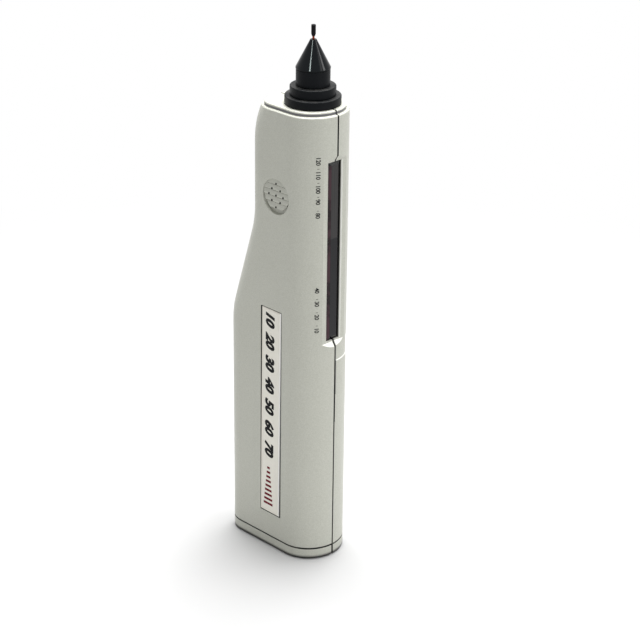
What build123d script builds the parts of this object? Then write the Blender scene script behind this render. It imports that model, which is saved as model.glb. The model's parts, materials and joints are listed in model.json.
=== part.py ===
from build123d import *

import os
from functools import lru_cache
from math import asin, atan2, cos, degrees, radians, tan

# Handheld diamond tester: a slim two-piece housing, a row of lamps behind a front window,
# a sprung heated probe on top, and a nine volt battery behind a sliding door.
# Lengths are in millimetres. X is the thickness, -Y the front with the window, +Z up.
# The origin is the middle of the underside.

os.makedirs("parts", exist_ok=True)

# Housing: outside
body_thickness = 22.84
body_depth = 40.44
body_height = 155.3
wall = 2.0
nose_depth = 10.66
back_corner = 7.0
neck_back = 9.45
neck_length = 38.5
knee_rise = 34.3
knee_radius = 30.0
taper_length = 12.6
taper_radius = 29.0
rim_round = 0.5
plateau_inset = 1.0
plateau_rise = 1.3
plateau_round = 0.35
foot_round = 0.8
overrun = 5.0
half_thickness = body_thickness / 2
half_depth = body_depth / 2
nose_centre = nose_depth - half_depth

# Housing: seam between the halves and groove round the base
seam_gap = 0.5
seam_round = 0.16
lip_reach = 1.4
lip_clearance = 0.1
groove_height = 4.07
groove_width = 0.5
groove_depth = 0.55
half_gap = seam_gap / 2
half_wall = wall / 2

# Window: flat with a ramp at each end, an opening, and the bevelled lens behind it
flat_depth = 1.05
flat_low = 79.0
flat_below_top = 14.7
ramp_rise = 1.6
opening_width = 5.5
opening_margin = 0.45
opening_round = 0.65
rim_width = 9.7
rim_thickness = 0.8
rim_margin = 1.5
lens_clearance = 0.05
lens_crown = 0.67
lens_land_width = 2.9
lens_flange_width = 8.6
lens_flange_thickness = 1.2
lens_flange_margin = 1.1

# Lamps behind the window
mask_depth = 3.75
mask_slot_width = 3.4
mask_slot_height = 3.6
lamp_pitch = 4.9
lamp_width = 2.8
lamp_height = 2.0
lamp_depth = 1.8
lamp_round = 0.3
lamp_board_thickness = 1.0

# Label on the left side
label_width = 8.75
label_length = 74.8
label_thickness = 0.25
label_turn = 0.7
label_set_back = 18.24
label_z = 50.5
pocket_width = 9.82
pocket_length = 75.52
pocket_turn = 0.35
pocket_set_back = 18.09
pocket_depth = 0.35
pocket_corner = 0.3

# Sound grille on the left side
grille_set_back = 15.9
grille_below_top = 27.7
grille_drop = 0.4
grille_radius = 5.9
grille_floor_radius = 5.6
grille_depth = 1.0
grille_pitch = 1.95
grille_hole_radius = 0.28
grille_hole_lift = 0.3
slat_rise = 0.5
slat_stand = 0.42
slat_gap = 0.32
slats_radius = 5.75
slats_forward = 0.1
slats_lift = 0.9
grille_column = 1.88
grille_wide_column = 3.2

# Buzzer behind the grille
buzzer_radius = 4.78
buzzer_thickness = 4.0
buzzer_step = 0.6
gasket_thickness = 0.5
gasket_inner_radius = 4.25
buzzer_pin_radius = 0.35
buzzer_pin_spacing = 5.0

# Main circuit board, on posts of the left half
board_thickness = 1.6
board_face = -0.8
board_low = 70.0
board_below_top = 21.3
board_back_gap = 3.15
board_hole_radius = 1.25
board_screw_radius = 0.95
board_screw_head_radius = 1.9
board_screw_head_height = 1.3
board_screw_reach = 5.0
post_radius = 2.3
post_edge = 3.4
post_high_share = 0.7

# Parts on the board
chip_length = 10.2
chip_width = 7.4
chip_height = 2.3
chip_lift = 0.25
chip_legs = 8
chip_leg_width = 0.4
chip_leg_reach = 1.4
chip_leg_thickness = 0.25
amplifier_length = 5.0
amplifier_width = 4.0
amplifier_height = 1.6
amplifier_legs = 4
control_chip_share = 0.3
contact_pin_share = 0.64
amplifier_chip_share = 0.845
chip_set_back = 7.0
capacitor_radius = 2.4
capacitor_height = 5.6
capacitor_inset = 4.0
capacitor_shares = (0.14, 0.28)
trimmer_size = 4.4
trimmer_height = 3.2
trimmer_screw_radius = 1.2
trimmer_slot = 0.5
trimmer_inset = 2.5
trimmer_share = 0.589
socket_width = 5.4
socket_height = 4.6
socket_stand = 3.6
socket_slot = 1.2
battery_socket_set_back = 9.22
probe_socket_set_back = 6.42

# Power button and its switch on the right side
recess_low = 72.2
recess_high = 90.7
recess_depth = 0.35
recess_front_depth = 0.15
button_set_back = 15.22
button_radius = 4.4
button_gap = 0.25
button_proud = 0.25
button_round = 0.5
button_dish_radius = 22.0
button_dish_depth = 0.25
button_flange_radius = 5.7
button_flange_thickness = 1.1
button_flange_clearance = 0.1
button_stem_radius = 1.5
button_travel = 0.6
switch_size = 6.0
switch_height = 3.4
plunger_radius = 1.7
plunger_gap = 0.08
plunger_stand = 2.0
plunger_depth = 0.8
plunger_floor_gap = 0.2

# Finger contact on the right side, used when the probe looks for metal
contact_width = 7.0
contact_length = 24.0
contact_thickness = 0.5
contact_share = 0.5
contact_margin = 0.1
contact_stud_radius = 1.3
contact_stud_gap = 0.1
contact_stud_reach = 1.2
contact_pin_radius = 0.9
contact_pin_tip_radius = 0.5
contact_pin_tip = 1.8

# Battery, its snap and its door
battery_height = 46.4
battery_width = 26.5
battery_thickness = 17.5
battery_corner = 1.6
battery_y = 1.05
terminal_height = 2.1
terminal_spacing = 12.7
terminal_small_radius = 2.85
terminal_large_radius = 3.9
terminal_bore_radius = 2.2
terminal_wall_depth = 1.5
snap_length = 25.0
snap_width = 12.0
snap_height = 3.6
snap_lift = 0.1
snap_gap = 0.15
snap_corner = 2.0
foam_thickness = 0.65
foam_width = 16.0
foam_height = 30.0
foam_z = 26.0
door_front_margin = 0.4
door_back_margin = 0.9
door_top = 60.0
door_clearance = 0.15
door_tongue = 1.2
door_lift = 0.3
door_ridges = 6
door_ridge_pitch = 1.8
door_ridge_width = 0.8
door_ridge_depth = 0.45
door_ridge_length = 13.0
door_ridge_top = 54.0
shelf_thickness = 1.2
shelf_clearance = 1.5
shelf_slot_width = 9.0
shelf_slot_depth = 9.0

# Screws that hold the halves together, driven from the right side
screw_radius = 1.0
screw_hole_radius = 1.3
screw_pilot_gap = 0.05
screw_head_radius = 2.2
screw_head_height = 1.5
screw_head_gap = 0.3
screw_sink = 3.2
screw_reach = 7.0
screw_cross_width = 0.6
screw_cross_length = 2.6
screw_cross_depth = 0.8
boss_radius_left = 2.6
boss_radius_right = 3.5
top_screw_inset = 5.75
top_screw_below_top = 8.3
low_screw_z = 66.6
low_screw_back_inset = 6.42
low_screw_front_inset = 8.22

# Probe stack on top
probe_set_back = 11.27
flange_radius = 8.9
flange_height = 2.8
collar_radius = 7.25
collar_height = 3.1
ring_bore_gap = 0.15
ring_edge = 0.3
shank_radius = 5.37
shank_height = 5.4
shank_edge = 0.25
neck_radius = 4.0
neck_below = 10.6
barrel_bore = 2.6
barrel_floor = 0.5
barrel_floor_bore = 1.5
hole_gap = 0.2
cone_base_radius = 5.48
cone_top_radius = 0.98
cone_height = 9.03
cone_lip = 0.35
cone_spigot_radius = 3.6
cone_spigot_length = 3.3
cone_spigot_gap = 0.05
cone_bore = 0.52
cone_web = 0.8
nut_flats = 11.0
nut_height = 3.0
nut_gap = 0.06

# Sprung pin inside the probe
pin_rod_radius = 0.45
pin_tip_radius = 0.35
pin_tip_length = 9.0
pin_collar_radius = 2.4
pin_collar_height = 2.0
pin_below = 0.6
pin_top_gap = 0.2
guard_radius = 0.72
guard_gap_to_cone = 0.97
guard_length = 3.6
guard_bore_gap = 0.04
guard_taper = 0.7
guard_taper_radius = 0.5
guard_round = 0.15
heater_radius = 1.3
heater_length = 5.0
heater_gap = 0.02
guide_height = 3.0
guide_gap = 0.05
guide_bore_gap = 0.08
spring_outer_gap = 0.25
spring_inner_radius = 1.6

# Leads inside
lead_radius = 0.5
lead_spread = 2.2
lead_run_share = 0.45
lead_stub = 2.2
lead_bow = 1.4
lead_middle_share = 0.5

# Levels that follow from the sizes above
taper_start = body_height - taper_length
knee_high = body_height - neck_length
knee_low = knee_high - knee_rise
rim_angle = asin(taper_length / taper_radius)
rim_back = neck_back - taper_radius + taper_radius * cos(rim_angle)
plateau_level = body_height + plateau_rise
ceiling = body_height - wall
flange_top = plateau_level + flange_height
collar_top = flange_top + collar_height
shank_top = collar_top + shank_height
cone_top = shank_top + cone_height
barrel_low = plateau_level - neck_below
flat_y = flat_depth - half_depth
flat_high = body_height - flat_below_top
lens_seat_y = flat_y + rim_thickness
lens_back_y = lens_seat_y + lens_flange_thickness
lamp_board_y = lens_back_y + mask_depth
lamp_board_back_y = lamp_board_y + lamp_board_thickness
opening_low = flat_low + opening_margin
opening_high = flat_high - opening_margin
opening_middle = (opening_low + opening_high) / 2
opening_length = opening_high - opening_low
flange_length = opening_length + lens_flange_margin + lens_flange_margin
inner_face = half_thickness - wall
shelf_low = door_top + shelf_clearance
label_y = label_set_back - half_depth
pocket_y = pocket_set_back - half_depth
grille_y = grille_set_back - half_depth
grille_z = body_height - grille_below_top
probe_y = probe_set_back - half_depth
probe_axis = Axis((0, probe_y, 0), (0, 0, 1))
top_screw_z = body_height - top_screw_below_top
screw_places = [
    (neck_back - top_screw_inset, top_screw_z),
    (half_depth - low_screw_back_inset, low_screw_z),
    (low_screw_front_inset - half_depth, low_screw_z),
]

# Places on the circuit board and on the right side that follow from the sizes above
board_back_face = board_face - board_thickness
board_front = lamp_board_back_y
board_back = neck_back - wall - board_back_gap
board_high = body_height - board_below_top
board_height = board_high - board_low
post_places = [
    (board_front + post_edge, board_low + post_edge),
    (board_back - post_edge, board_low + post_high_share * board_height),
]
button_y = button_set_back - half_depth
button_z = (recess_low + recess_high) / 2
recess_radius = (recess_high - recess_low) / 2
chip_y = board_front + chip_set_back
chips_low = button_z + switch_size / 2
chips_height = board_high - socket_height - chips_low
control_chip_z = chips_low + control_chip_share * chips_height
amplifier_chip_z = chips_low + amplifier_chip_share * chips_height
stud_z = chips_low + contact_pin_share * chips_height
contact_y = button_y
contact_z = recess_high + contact_share * (top_screw_z - recess_high)
trimmer_y = board_back - trimmer_inset
trimmer_z = board_low + trimmer_share * board_height
battery_socket_y = board_front + battery_socket_set_back
probe_socket_y = board_front + probe_socket_set_back
door_front = battery_y - battery_width / 2 - door_front_margin
door_back = battery_y + battery_width / 2 + door_back_margin


def save(piece, label):
    """Label one finished piece and write its file."""
    piece.part.label = label
    export_step(piece.part, f"parts/{label}.step")


def block(x_low, x_high, y_low, y_high, z_low, z_high):
    """A box between two corners."""
    with BuildPart() as box:
        with BuildSketch(Plane.XY.offset(z_low)):
            with Locations(((x_low + x_high) / 2, (y_low + y_high) / 2)):
                Rectangle(x_high - x_low, y_high - y_low)
        extrude(amount=z_high - z_low)
    return box.part


def side_rod(x_low, x_high, y, z, radius):
    """A round bar along X."""
    with BuildPart() as rod:
        with BuildSketch(Plane.YZ.offset(x_low)):
            with Locations((y, z)):
                Circle(radius)
        extrude(amount=x_high - x_low)
    return rod.part


@lru_cache(maxsize=None)
def body_form(inset, drop=0.0):
    """The outside form of the housing, drawn in by inset; drop lengthens it downwards."""
    slope = atan2(half_depth - neck_back, knee_high - knee_low)
    slide = inset * tan(slope / 2)
    back = half_depth - inset
    neck = neck_back - inset
    top = body_height - inset
    low = inset - drop
    arc_radius = taper_radius - inset
    arc_angle = asin((top - taper_start) / arc_radius)
    arc_centre = neck_back - taper_radius
    arc_end = arc_centre + arc_radius * cos(arc_angle)
    half = half_thickness - inset
    with BuildPart() as form:
        with BuildSketch(Plane.YZ):
            with BuildLine():
                FilletPolyline(
                    (back, low),
                    (back, knee_low - slide),
                    (neck, knee_high - slide),
                    (neck, taper_start),
                    radius=[knee_radius - inset, knee_radius + inset],
                )
                CenterArc((arc_centre, taper_start), arc_radius, 0, degrees(arc_angle))
                Polyline((arc_end, top), (inset - half_depth, top), (inset - half_depth, low), (back, low))
            make_face()
        extrude(amount=half, both=True)
        with BuildSketch(Plane.XY.offset(low)):
            with Locations((0, nose_centre)):
                Ellipse(half, nose_depth - inset)
                Rectangle(half + half, body_depth, align=(Align.CENTER, Align.MIN))
        extrude(amount=top - low, mode=Mode.INTERSECT)
        sides = form.edges().filter_by(lambda edge: abs(abs(edge.center().X) - half) < lens_clearance)
        behind = sides.filter_by(lambda edge: edge.center().Y > nose_centre + nose_depth / 2)
        fillet(behind.filter_by(lambda edge: abs(edge.tangent_at(0).Z) > abs(edge.tangent_at(0).Y)),
               back_corner - inset)
    return form.part


def wall_band(outer_inset, inner_inset, zone, drop=0.0):
    """The part of the wall between two insets that lies inside a zone."""
    with BuildPart() as band:
        add(body_form(outer_inset, drop))
        add(body_form(inner_inset, drop + drop), mode=Mode.SUBTRACT)
        add(zone, mode=Mode.INTERSECT)
    return band.part


def skin_cut(depth, zone):
    """What lies outside the form drawn in by depth, inside a zone."""
    with BuildPart() as cut:
        add(zone)
        add(body_form(depth, overrun), mode=Mode.SUBTRACT)
    return cut.part


def boss(x_low, x_high, y, z, radius):
    """A screw boss that grows out of the wall without reaching the outside."""
    with BuildPart() as post:
        add(side_rod(x_low, x_high, y, z, radius))
        add(body_form(half_wall), mode=Mode.INTERSECT)
    return post.part


def window_cut():
    """The flat for the window with a ramp at each end."""
    steep = ramp_rise / flat_depth
    front = -half_depth - overrun
    reach = ramp_rise + overrun * steep
    with BuildPart() as cut:
        with BuildSketch(Plane.YZ):
            with BuildLine():
                Polyline(
                    (front, flat_low - reach),
                    (flat_y, flat_low),
                    (flat_y, flat_high),
                    (front, flat_high + reach),
                    close=True,
                )
            make_face()
        extrude(amount=half_thickness, both=True)
    return cut.part


def base_groove():
    """The groove that runs round the base."""
    low = groove_height - groove_width / 2
    ring = block(-body_thickness, body_thickness, -body_depth, body_depth, low, low + groove_width)
    return skin_cut(groove_depth, ring)


def housing_form():
    """The closed hollow housing before it is cut into halves."""
    half_plateau = half_thickness - plateau_inset
    with BuildPart() as housing:
        add(body_form(0))
        foot = housing.faces().sort_by(Axis.Z)[0]
        fillet(foot.edges(), foot_round)
        rim = housing.faces().sort_by(Axis.Z)[-1]
        fillet(rim.edges(), rim_round)
        with BuildSketch(Plane.XY.offset(body_height)) as plan:
            with Locations((0, nose_centre)):
                Ellipse(half_plateau, nose_depth - plateau_inset)
                Rectangle(half_plateau + half_plateau, rim_back - plateau_inset - nose_centre,
                          align=(Align.CENTER, Align.MIN))
            fillet(plan.vertices().group_by(Axis.Y)[-1], back_corner - plateau_inset)
        extrude(amount=plateau_rise)
        plateau = housing.faces().sort_by(Axis.Z)[-1]
        fillet(plateau.edges(), plateau_round)
        add(body_form(wall), mode=Mode.SUBTRACT)
        add(base_groove(), mode=Mode.SUBTRACT)
        add(window_cut(), mode=Mode.SUBTRACT)
        half_rim = rim_width / 2
        add(block(-half_rim, half_rim, flat_y, lens_seat_y, flat_low - rim_margin, flat_high + rim_margin))
        half_opening = opening_width / 2
        add(block(-half_opening, half_opening, -half_depth, lens_seat_y, opening_low, opening_high),
            mode=Mode.SUBTRACT)
        sides = housing.edges().filter_by(Axis.Z)
        sides = sides.filter_by(lambda edge: abs(abs(edge.center().X) - half_opening) < lens_clearance)
        fillet(sides.filter_by(lambda edge: abs(edge.center().Y - flat_y) < lens_clearance), opening_round)
        half_seat = lens_flange_width / 2 + lens_clearance
        seat_reach = flange_length / 2 + lens_clearance
        add(block(-half_seat, half_seat, lens_seat_y, lens_back_y, opening_middle - seat_reach,
                  opening_middle + seat_reach), mode=Mode.SUBTRACT)
        add(block(-body_thickness, body_thickness, -body_depth, body_depth,
                  shelf_low, shelf_low + shelf_thickness).intersect(body_form(half_wall)))
        half_slot = shelf_slot_width / 2
        slot_reach = shelf_slot_depth / 2
        add(block(-half_slot, half_slot, battery_socket_y - slot_reach, battery_socket_y + slot_reach,
                  shelf_low - overrun, shelf_low + shelf_thickness + overrun), mode=Mode.SUBTRACT)
        with BuildSketch(Plane.XY.offset(ceiling - overrun)):
            with Locations((0, probe_y)):
                Circle(neck_radius + hole_gap)
        extrude(amount=plateau_level - ceiling + overrun + overrun, mode=Mode.SUBTRACT)
    return housing.part


def side_zone(x_low, x_high):
    """A zone that takes in the whole housing between two values of X."""
    return block(x_low, x_high, -body_depth, body_depth, -overrun, body_height + body_depth)


def seam_zone(x_low, x_high):
    """A zone along the seam, kept clear of the probe hole and the window opening."""
    with BuildPart() as zone:
        add(side_zone(x_low, x_high))
        with BuildSketch(Plane.XY.offset(ceiling - overrun)):
            with Locations((0, probe_y)):
                Circle(neck_radius + hole_gap)
        extrude(amount=body_depth, mode=Mode.SUBTRACT)
        half_rim = rim_width / 2
        add(block(-half_rim, half_rim, -body_depth, lens_back_y, flat_low - rim_margin,
                  flat_high + rim_margin), mode=Mode.SUBTRACT)
    return zone.part


def hollow_post(y, z):
    """A post of the left half that carries the circuit board."""
    with BuildPart() as post:
        add(side_rod(-inner_face, board_back_face, y, z, post_radius))
        add(side_rod(board_back_face - board_screw_reach, board_back_face, y, z,
                     board_screw_radius + screw_pilot_gap), mode=Mode.SUBTRACT)
    return post.part


housing = housing_form()
grille_floor = grille_depth - half_thickness
grille_rows = {-2: [0], -1: [-1, 1], 0: [-1, 0, 1], 1: [-1, 1], 2: [0]}


def grille_slats():
    """The sloping slats on the floor of the grille, set a little higher than its middle."""
    with BuildPart() as slats:
        for row in grille_rows:
            foot = grille_z + row * grille_pitch - grille_hole_lift
            with BuildSketch(Plane.XZ.offset(-grille_y - grille_radius)):
                with BuildLine():
                    Polyline(
                        (grille_floor + slat_stand, foot),
                        (grille_floor - slat_rise - slat_stand, foot),
                        (grille_floor - slat_rise, foot + grille_pitch - slat_gap),
                        (grille_floor + slat_stand, foot + grille_pitch - slat_gap),
                        close=True,
                    )
                make_face()
            extrude(amount=grille_radius + grille_radius)
        add(side_rod(grille_floor - slat_rise - slat_stand, grille_floor + slat_stand,
                     grille_y - slats_forward, grille_z + slats_lift, slats_radius), mode=Mode.INTERSECT)
    return slats.part


def seam_edges(half, side):
    """The long outer edges of one half along the seam."""
    edges = half.edges().filter_by(Axis.Z)
    edges = edges.filter_by(lambda edge: abs(edge.center().X - side * half_gap) < lens_clearance)
    return edges.filter_by(lambda edge: abs(edge.center().Y) > half_depth - half_wall)


# Left half of the housing, with the label pocket, the sound grille and the lip of the seam
with BuildPart() as left_shell:
    add(housing)
    add(side_zone(-body_thickness, -half_gap), mode=Mode.INTERSECT)
    fillet(seam_edges(left_shell, -1), seam_round)
    add(wall_band(half_wall + lip_clearance, wall, seam_zone(-half_gap - half_wall, lip_reach)))
    for place_y, place_z in screw_places:
        add(boss(-half_thickness, -half_gap, place_y, place_z, boss_radius_left))
        add(side_rod(-half_gap - screw_reach, half_gap, place_y, place_z, screw_radius + screw_pilot_gap),
            mode=Mode.SUBTRACT)
    for place_y, place_z in post_places:
        add(hollow_post(place_y, place_z))
    with BuildSketch(Plane.YZ.offset(-half_thickness)):
        with Locations(Location((pocket_y, label_z, 0), (0, 0, pocket_turn))):
            RectangleRounded(pocket_width, pocket_length, pocket_corner)
    extrude(amount=pocket_depth, mode=Mode.SUBTRACT)
    with BuildSketch(Plane.YZ.offset(-half_thickness)):
        with Locations((grille_y, grille_z - grille_drop)):
            Circle(grille_radius)
    with BuildSketch(Plane.YZ.offset(grille_floor)):
        with Locations((grille_y, grille_z - grille_drop)):
            Circle(grille_floor_radius)
    loft(mode=Mode.SUBTRACT)
    add(grille_slats())
    for row, columns in grille_rows.items():
        step = grille_wide_column if row == 0 else grille_column
        for column in columns:
            add(side_rod(-half_thickness, half_wall - inner_face, grille_y + column * step,
                         grille_z + row * grille_pitch, grille_hole_radius), mode=Mode.SUBTRACT)
save(left_shell, "left_shell")


def door_zone(margin, low, high):
    """The zone of the battery door on the right side, widened by margin."""
    return block(0, body_thickness, door_front - margin, door_back + margin, low, high)


# Zones of the shallow finger recess: round the button, and in front of it as far as the seam
recess_side = side_rod(half_gap, body_thickness, button_y, button_z, recess_radius)
recess_front = block(half_gap, body_thickness, -body_depth, button_y, recess_low, flat_low)


# Right half of the housing, with the finger recess, the button hole and the battery opening
with BuildPart() as right_shell:
    add(housing)
    add(side_zone(half_gap, body_thickness), mode=Mode.INTERSECT)
    fillet(seam_edges(right_shell, 1), seam_round)
    for place_y, place_z in screw_places:
        add(boss(half_gap, half_thickness, place_y, place_z, boss_radius_right))
        add(side_rod(0, body_thickness, place_y, place_z, screw_hole_radius), mode=Mode.SUBTRACT)
        add(side_rod(half_thickness - screw_sink, body_thickness, place_y, place_z,
                     screw_head_radius + screw_head_gap), mode=Mode.SUBTRACT)
    add(wall_band(half_wall, wall, seam_zone(0, lip_reach + lip_clearance)), mode=Mode.SUBTRACT)
    add(skin_cut(recess_depth, recess_side), mode=Mode.SUBTRACT)
    add(skin_cut(recess_front_depth, recess_front), mode=Mode.SUBTRACT)
    add(side_rod(half_wall, body_thickness, button_y, button_z, button_radius + button_gap),
        mode=Mode.SUBTRACT)
    with BuildSketch(Plane.YZ.offset(half_thickness - contact_thickness)):
        with Locations((contact_y, contact_z)):
            SlotOverall(contact_length + contact_margin + contact_margin,
                        contact_width + contact_margin + contact_margin, rotation=90)
    extrude(amount=contact_thickness, mode=Mode.SUBTRACT)
    add(side_rod(half_wall, body_thickness, contact_y, stud_z, contact_stud_radius + contact_stud_gap),
        mode=Mode.SUBTRACT)
    add(skin_cut(wall, door_zone(0, -wall, door_top)), mode=Mode.SUBTRACT)
    add(wall_band(half_wall, wall, door_zone(door_tongue, -wall, door_top), overrun), mode=Mode.SUBTRACT)
save(right_shell, "right_shell")

# Sliding battery door: a piece of the right wall with a tongue along each long side
with BuildPart() as battery_door:
    door_high = door_top - door_clearance
    add(wall_band(0, wall - door_clearance, door_zone(-door_clearance, door_lift, door_high), overrun))
    add(wall_band(half_wall + door_clearance, wall - door_clearance,
                  door_zone(door_tongue - door_clearance, door_lift, door_high), overrun))
    door_foot = battery_door.faces().sort_by(Axis.Z)[0]
    door_foot_edges = door_foot.edges().filter_by(lambda edge: edge.center().X > half_thickness - half_wall)
    fillet(door_foot_edges.filter_by(lambda edge: edge.length > wall), foot_round - door_lift)
    add(base_groove(), mode=Mode.SUBTRACT)
    ridge_middle = (door_front + door_back) / 2
    for ridge in range(door_ridges):
        ridge_high = door_ridge_top - ridge * door_ridge_pitch
        add(block(half_thickness - door_ridge_depth, body_thickness, ridge_middle - door_ridge_length / 2,
                  ridge_middle + door_ridge_length / 2, ridge_high - door_ridge_width, ridge_high),
            mode=Mode.SUBTRACT)
save(battery_door, "battery_door")

# Dark lens: a flange behind the opening and a crown bevelled on all four sides
with BuildPart() as window_lens:
    with BuildSketch(Plane.XZ.offset(-lens_back_y)):
        with Locations((0, opening_middle)):
            Rectangle(lens_flange_width, flange_length)
    extrude(amount=lens_flange_thickness)
    bevel = (opening_width - lens_land_width) / 2
    with BuildSketch(Plane.XZ.offset(-lens_seat_y)):
        with Locations((0, opening_middle)):
            Rectangle(opening_width - lens_clearance - lens_clearance,
                      opening_length - lens_clearance - lens_clearance)
    with BuildSketch(Plane.XZ.offset(lens_crown - lens_seat_y)):
        with Locations((0, opening_middle)):
            Rectangle(lens_land_width, opening_length - bevel - bevel)
    loft()
save(window_lens, "window_lens")

lamp_count = int(opening_length // lamp_pitch)
lamp_levels = [opening_middle + (number - (lamp_count - 1) / 2) * lamp_pitch for number in range(lamp_count)]

# Comb that keeps the light of each lamp apart
with BuildPart() as light_mask:
    with BuildSketch(Plane.XZ.offset(-lamp_board_y)):
        with Locations((0, opening_middle)):
            Rectangle(lens_flange_width, flange_length)
        with Locations([(0, level) for level in lamp_levels]):
            Rectangle(mask_slot_width, mask_slot_height, mode=Mode.SUBTRACT)
    extrude(amount=mask_depth)
save(light_mask, "light_mask")

# Narrow board that carries the lamps
with BuildPart() as lamp_board:
    with BuildSketch(Plane.XZ.offset(-lamp_board_back_y)):
        with Locations((0, opening_middle)):
            Rectangle(lens_flange_width, flange_length)
    extrude(amount=lamp_board_thickness)
save(lamp_board, "lamp_board")

# Row of lamps
with BuildPart() as lamp_row:
    with BuildSketch(Plane.XZ.offset(-lamp_board_y)):
        with Locations([(0, level) for level in lamp_levels]):
            RectangleRounded(lamp_width, lamp_height, lamp_round)
    extrude(amount=lamp_depth)
save(lamp_row, "lamp_row")

# Printed label, set in its pocket a little askew
with BuildPart() as label_plate:
    with BuildSketch(Plane.YZ.offset(pocket_depth - half_thickness - label_thickness)):
        with Locations(Location((label_y, label_z, 0), (0, 0, label_turn))):
            Rectangle(label_width, label_length)
    extrude(amount=label_thickness)
save(label_plate, "label_plate")

buzzer_low = gasket_thickness - inner_face
buzzer_high = buzzer_low + buzzer_thickness

# Foam ring that seals the buzzer to the grille
with BuildPart() as buzzer_gasket:
    add(side_rod(-inner_face, buzzer_low, grille_y, grille_z, buzzer_radius))
    add(side_rod(-inner_face, buzzer_low, grille_y, grille_z, gasket_inner_radius), mode=Mode.SUBTRACT)
save(buzzer_gasket, "buzzer_gasket")

# Buzzer with its two pins on the board
with BuildPart() as buzzer:
    add(side_rod(buzzer_low, buzzer_high, grille_y, grille_z, buzzer_radius))
    step_edges = buzzer.edges().group_by(Axis.X)[-1]
    chamfer(step_edges, buzzer_step)
    for side in (-1, 1):
        add(side_rod(buzzer_high, board_back_face, grille_y + side * buzzer_pin_spacing / 2, grille_z,
                     buzzer_pin_radius))
save(buzzer, "buzzer")

# Main circuit board
with BuildPart() as main_board:
    with BuildSketch(Plane.YZ.offset(board_back_face)):
        with Locations((board_front, board_low)):
            Rectangle(board_back - board_front, board_high - board_low, align=(Align.MIN, Align.MIN))
        with Locations(post_places):
            Circle(board_hole_radius, mode=Mode.SUBTRACT)
    extrude(amount=board_thickness)
save(main_board, "main_board")

# Screws that hold the board to its posts
with BuildPart() as board_screws:
    for place_y, place_z in post_places:
        add(side_rod(board_back_face - board_screw_reach + screw_pilot_gap, board_face, place_y, place_z,
                     board_screw_radius))
        add(side_rod(board_face, board_face + board_screw_head_height, place_y, place_z,
                     board_screw_head_radius))
save(board_screws, "board_screws")


def chip(length, width, height, legs, middle_z):
    """A flat chip with a row of legs along each long side."""
    base = board_face + chip_lift
    pitch = length / legs
    with BuildPart() as body:
        add(block(base, base + height, chip_y - width / 2, chip_y + width / 2,
                  middle_z - length / 2, middle_z + length / 2))
        for number in range(legs):
            level = middle_z + (number - (legs - 1) / 2) * pitch
            add(block(board_face, base + chip_leg_thickness, chip_y - width / 2 - chip_leg_reach,
                      chip_y + width / 2 + chip_leg_reach, level - chip_leg_width / 2,
                      level + chip_leg_width / 2))
    return body.part


# Chips that run the heater, read the probe and light the lamps
with BuildPart() as control_chip:
    add(chip(chip_length, chip_width, chip_height, chip_legs, control_chip_z))
save(control_chip, "control_chip")

with BuildPart() as amplifier_chip:
    add(chip(amplifier_length, amplifier_width, amplifier_height, amplifier_legs, amplifier_chip_z))
save(amplifier_chip, "amplifier_chip")

# Pair of round capacitors on the other face of the board
with BuildPart() as capacitors:
    for share in capacitor_shares:
        add(side_rod(board_back_face - capacitor_height, board_back_face, board_back - capacitor_inset,
                     board_low + share * board_height, capacitor_radius))
save(capacitors, "capacitors")

# Trimmer that sets the reading
with BuildPart() as trimmer:
    half_trimmer = trimmer_size / 2
    trimmer_face = board_face + trimmer_height
    add(block(board_face, trimmer_face, trimmer_y - half_trimmer, trimmer_y + half_trimmer,
              trimmer_z - half_trimmer, trimmer_z + half_trimmer))
    add(side_rod(trimmer_face, trimmer_face + trimmer_slot, trimmer_y, trimmer_z, trimmer_screw_radius))
    half_slot = trimmer_slot / 2
    add(block(trimmer_face, trimmer_face + trimmer_slot, trimmer_y - half_slot, trimmer_y + half_slot,
              trimmer_z - trimmer_screw_radius, trimmer_z + trimmer_screw_radius), mode=Mode.SUBTRACT)
save(trimmer, "trimmer")

# Sockets for the battery leads, at the foot of the board, and for the probe leads, at its top
with BuildPart() as board_sockets:
    half_socket = socket_width / 2
    socket_face = board_face + socket_stand
    socket_places = [
        (battery_socket_y, board_low, board_low + socket_height),
        (probe_socket_y, board_high - socket_height, board_high),
    ]
    for place_y, low, high in socket_places:
        add(block(board_face, socket_face, place_y - half_socket, place_y + half_socket, low, high))
        middle = (low + high) / 2
        add(block(board_face + socket_slot, socket_face - socket_slot / 2, place_y - half_socket,
                  place_y + half_socket, middle - socket_slot / 2, middle + socket_slot / 2),
            mode=Mode.SUBTRACT)
save(board_sockets, "board_sockets")

switch_top = board_face + switch_height
plunger_low = switch_top - plunger_depth
plunger_high = switch_top + plunger_stand

# Push switch on the board, with room for its plunger to sink
with BuildPart() as switch_body:
    half_switch = switch_size / 2
    add(block(board_face, switch_top, button_y - half_switch, button_y + half_switch,
              button_z - half_switch, button_z + half_switch))
    add(side_rod(plunger_low - button_travel - plunger_floor_gap, switch_top, button_y, button_z,
                 plunger_radius + plunger_gap), mode=Mode.SUBTRACT)
save(switch_body, "switch_body")

# Plunger of the switch
with BuildPart() as switch_plunger:
    add(side_rod(plunger_low, plunger_high, button_y, button_z, plunger_radius))
save(switch_plunger, "switch_plunger")

flange_high = inner_face - button_flange_clearance
button_face = half_thickness - recess_depth + button_proud

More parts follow.
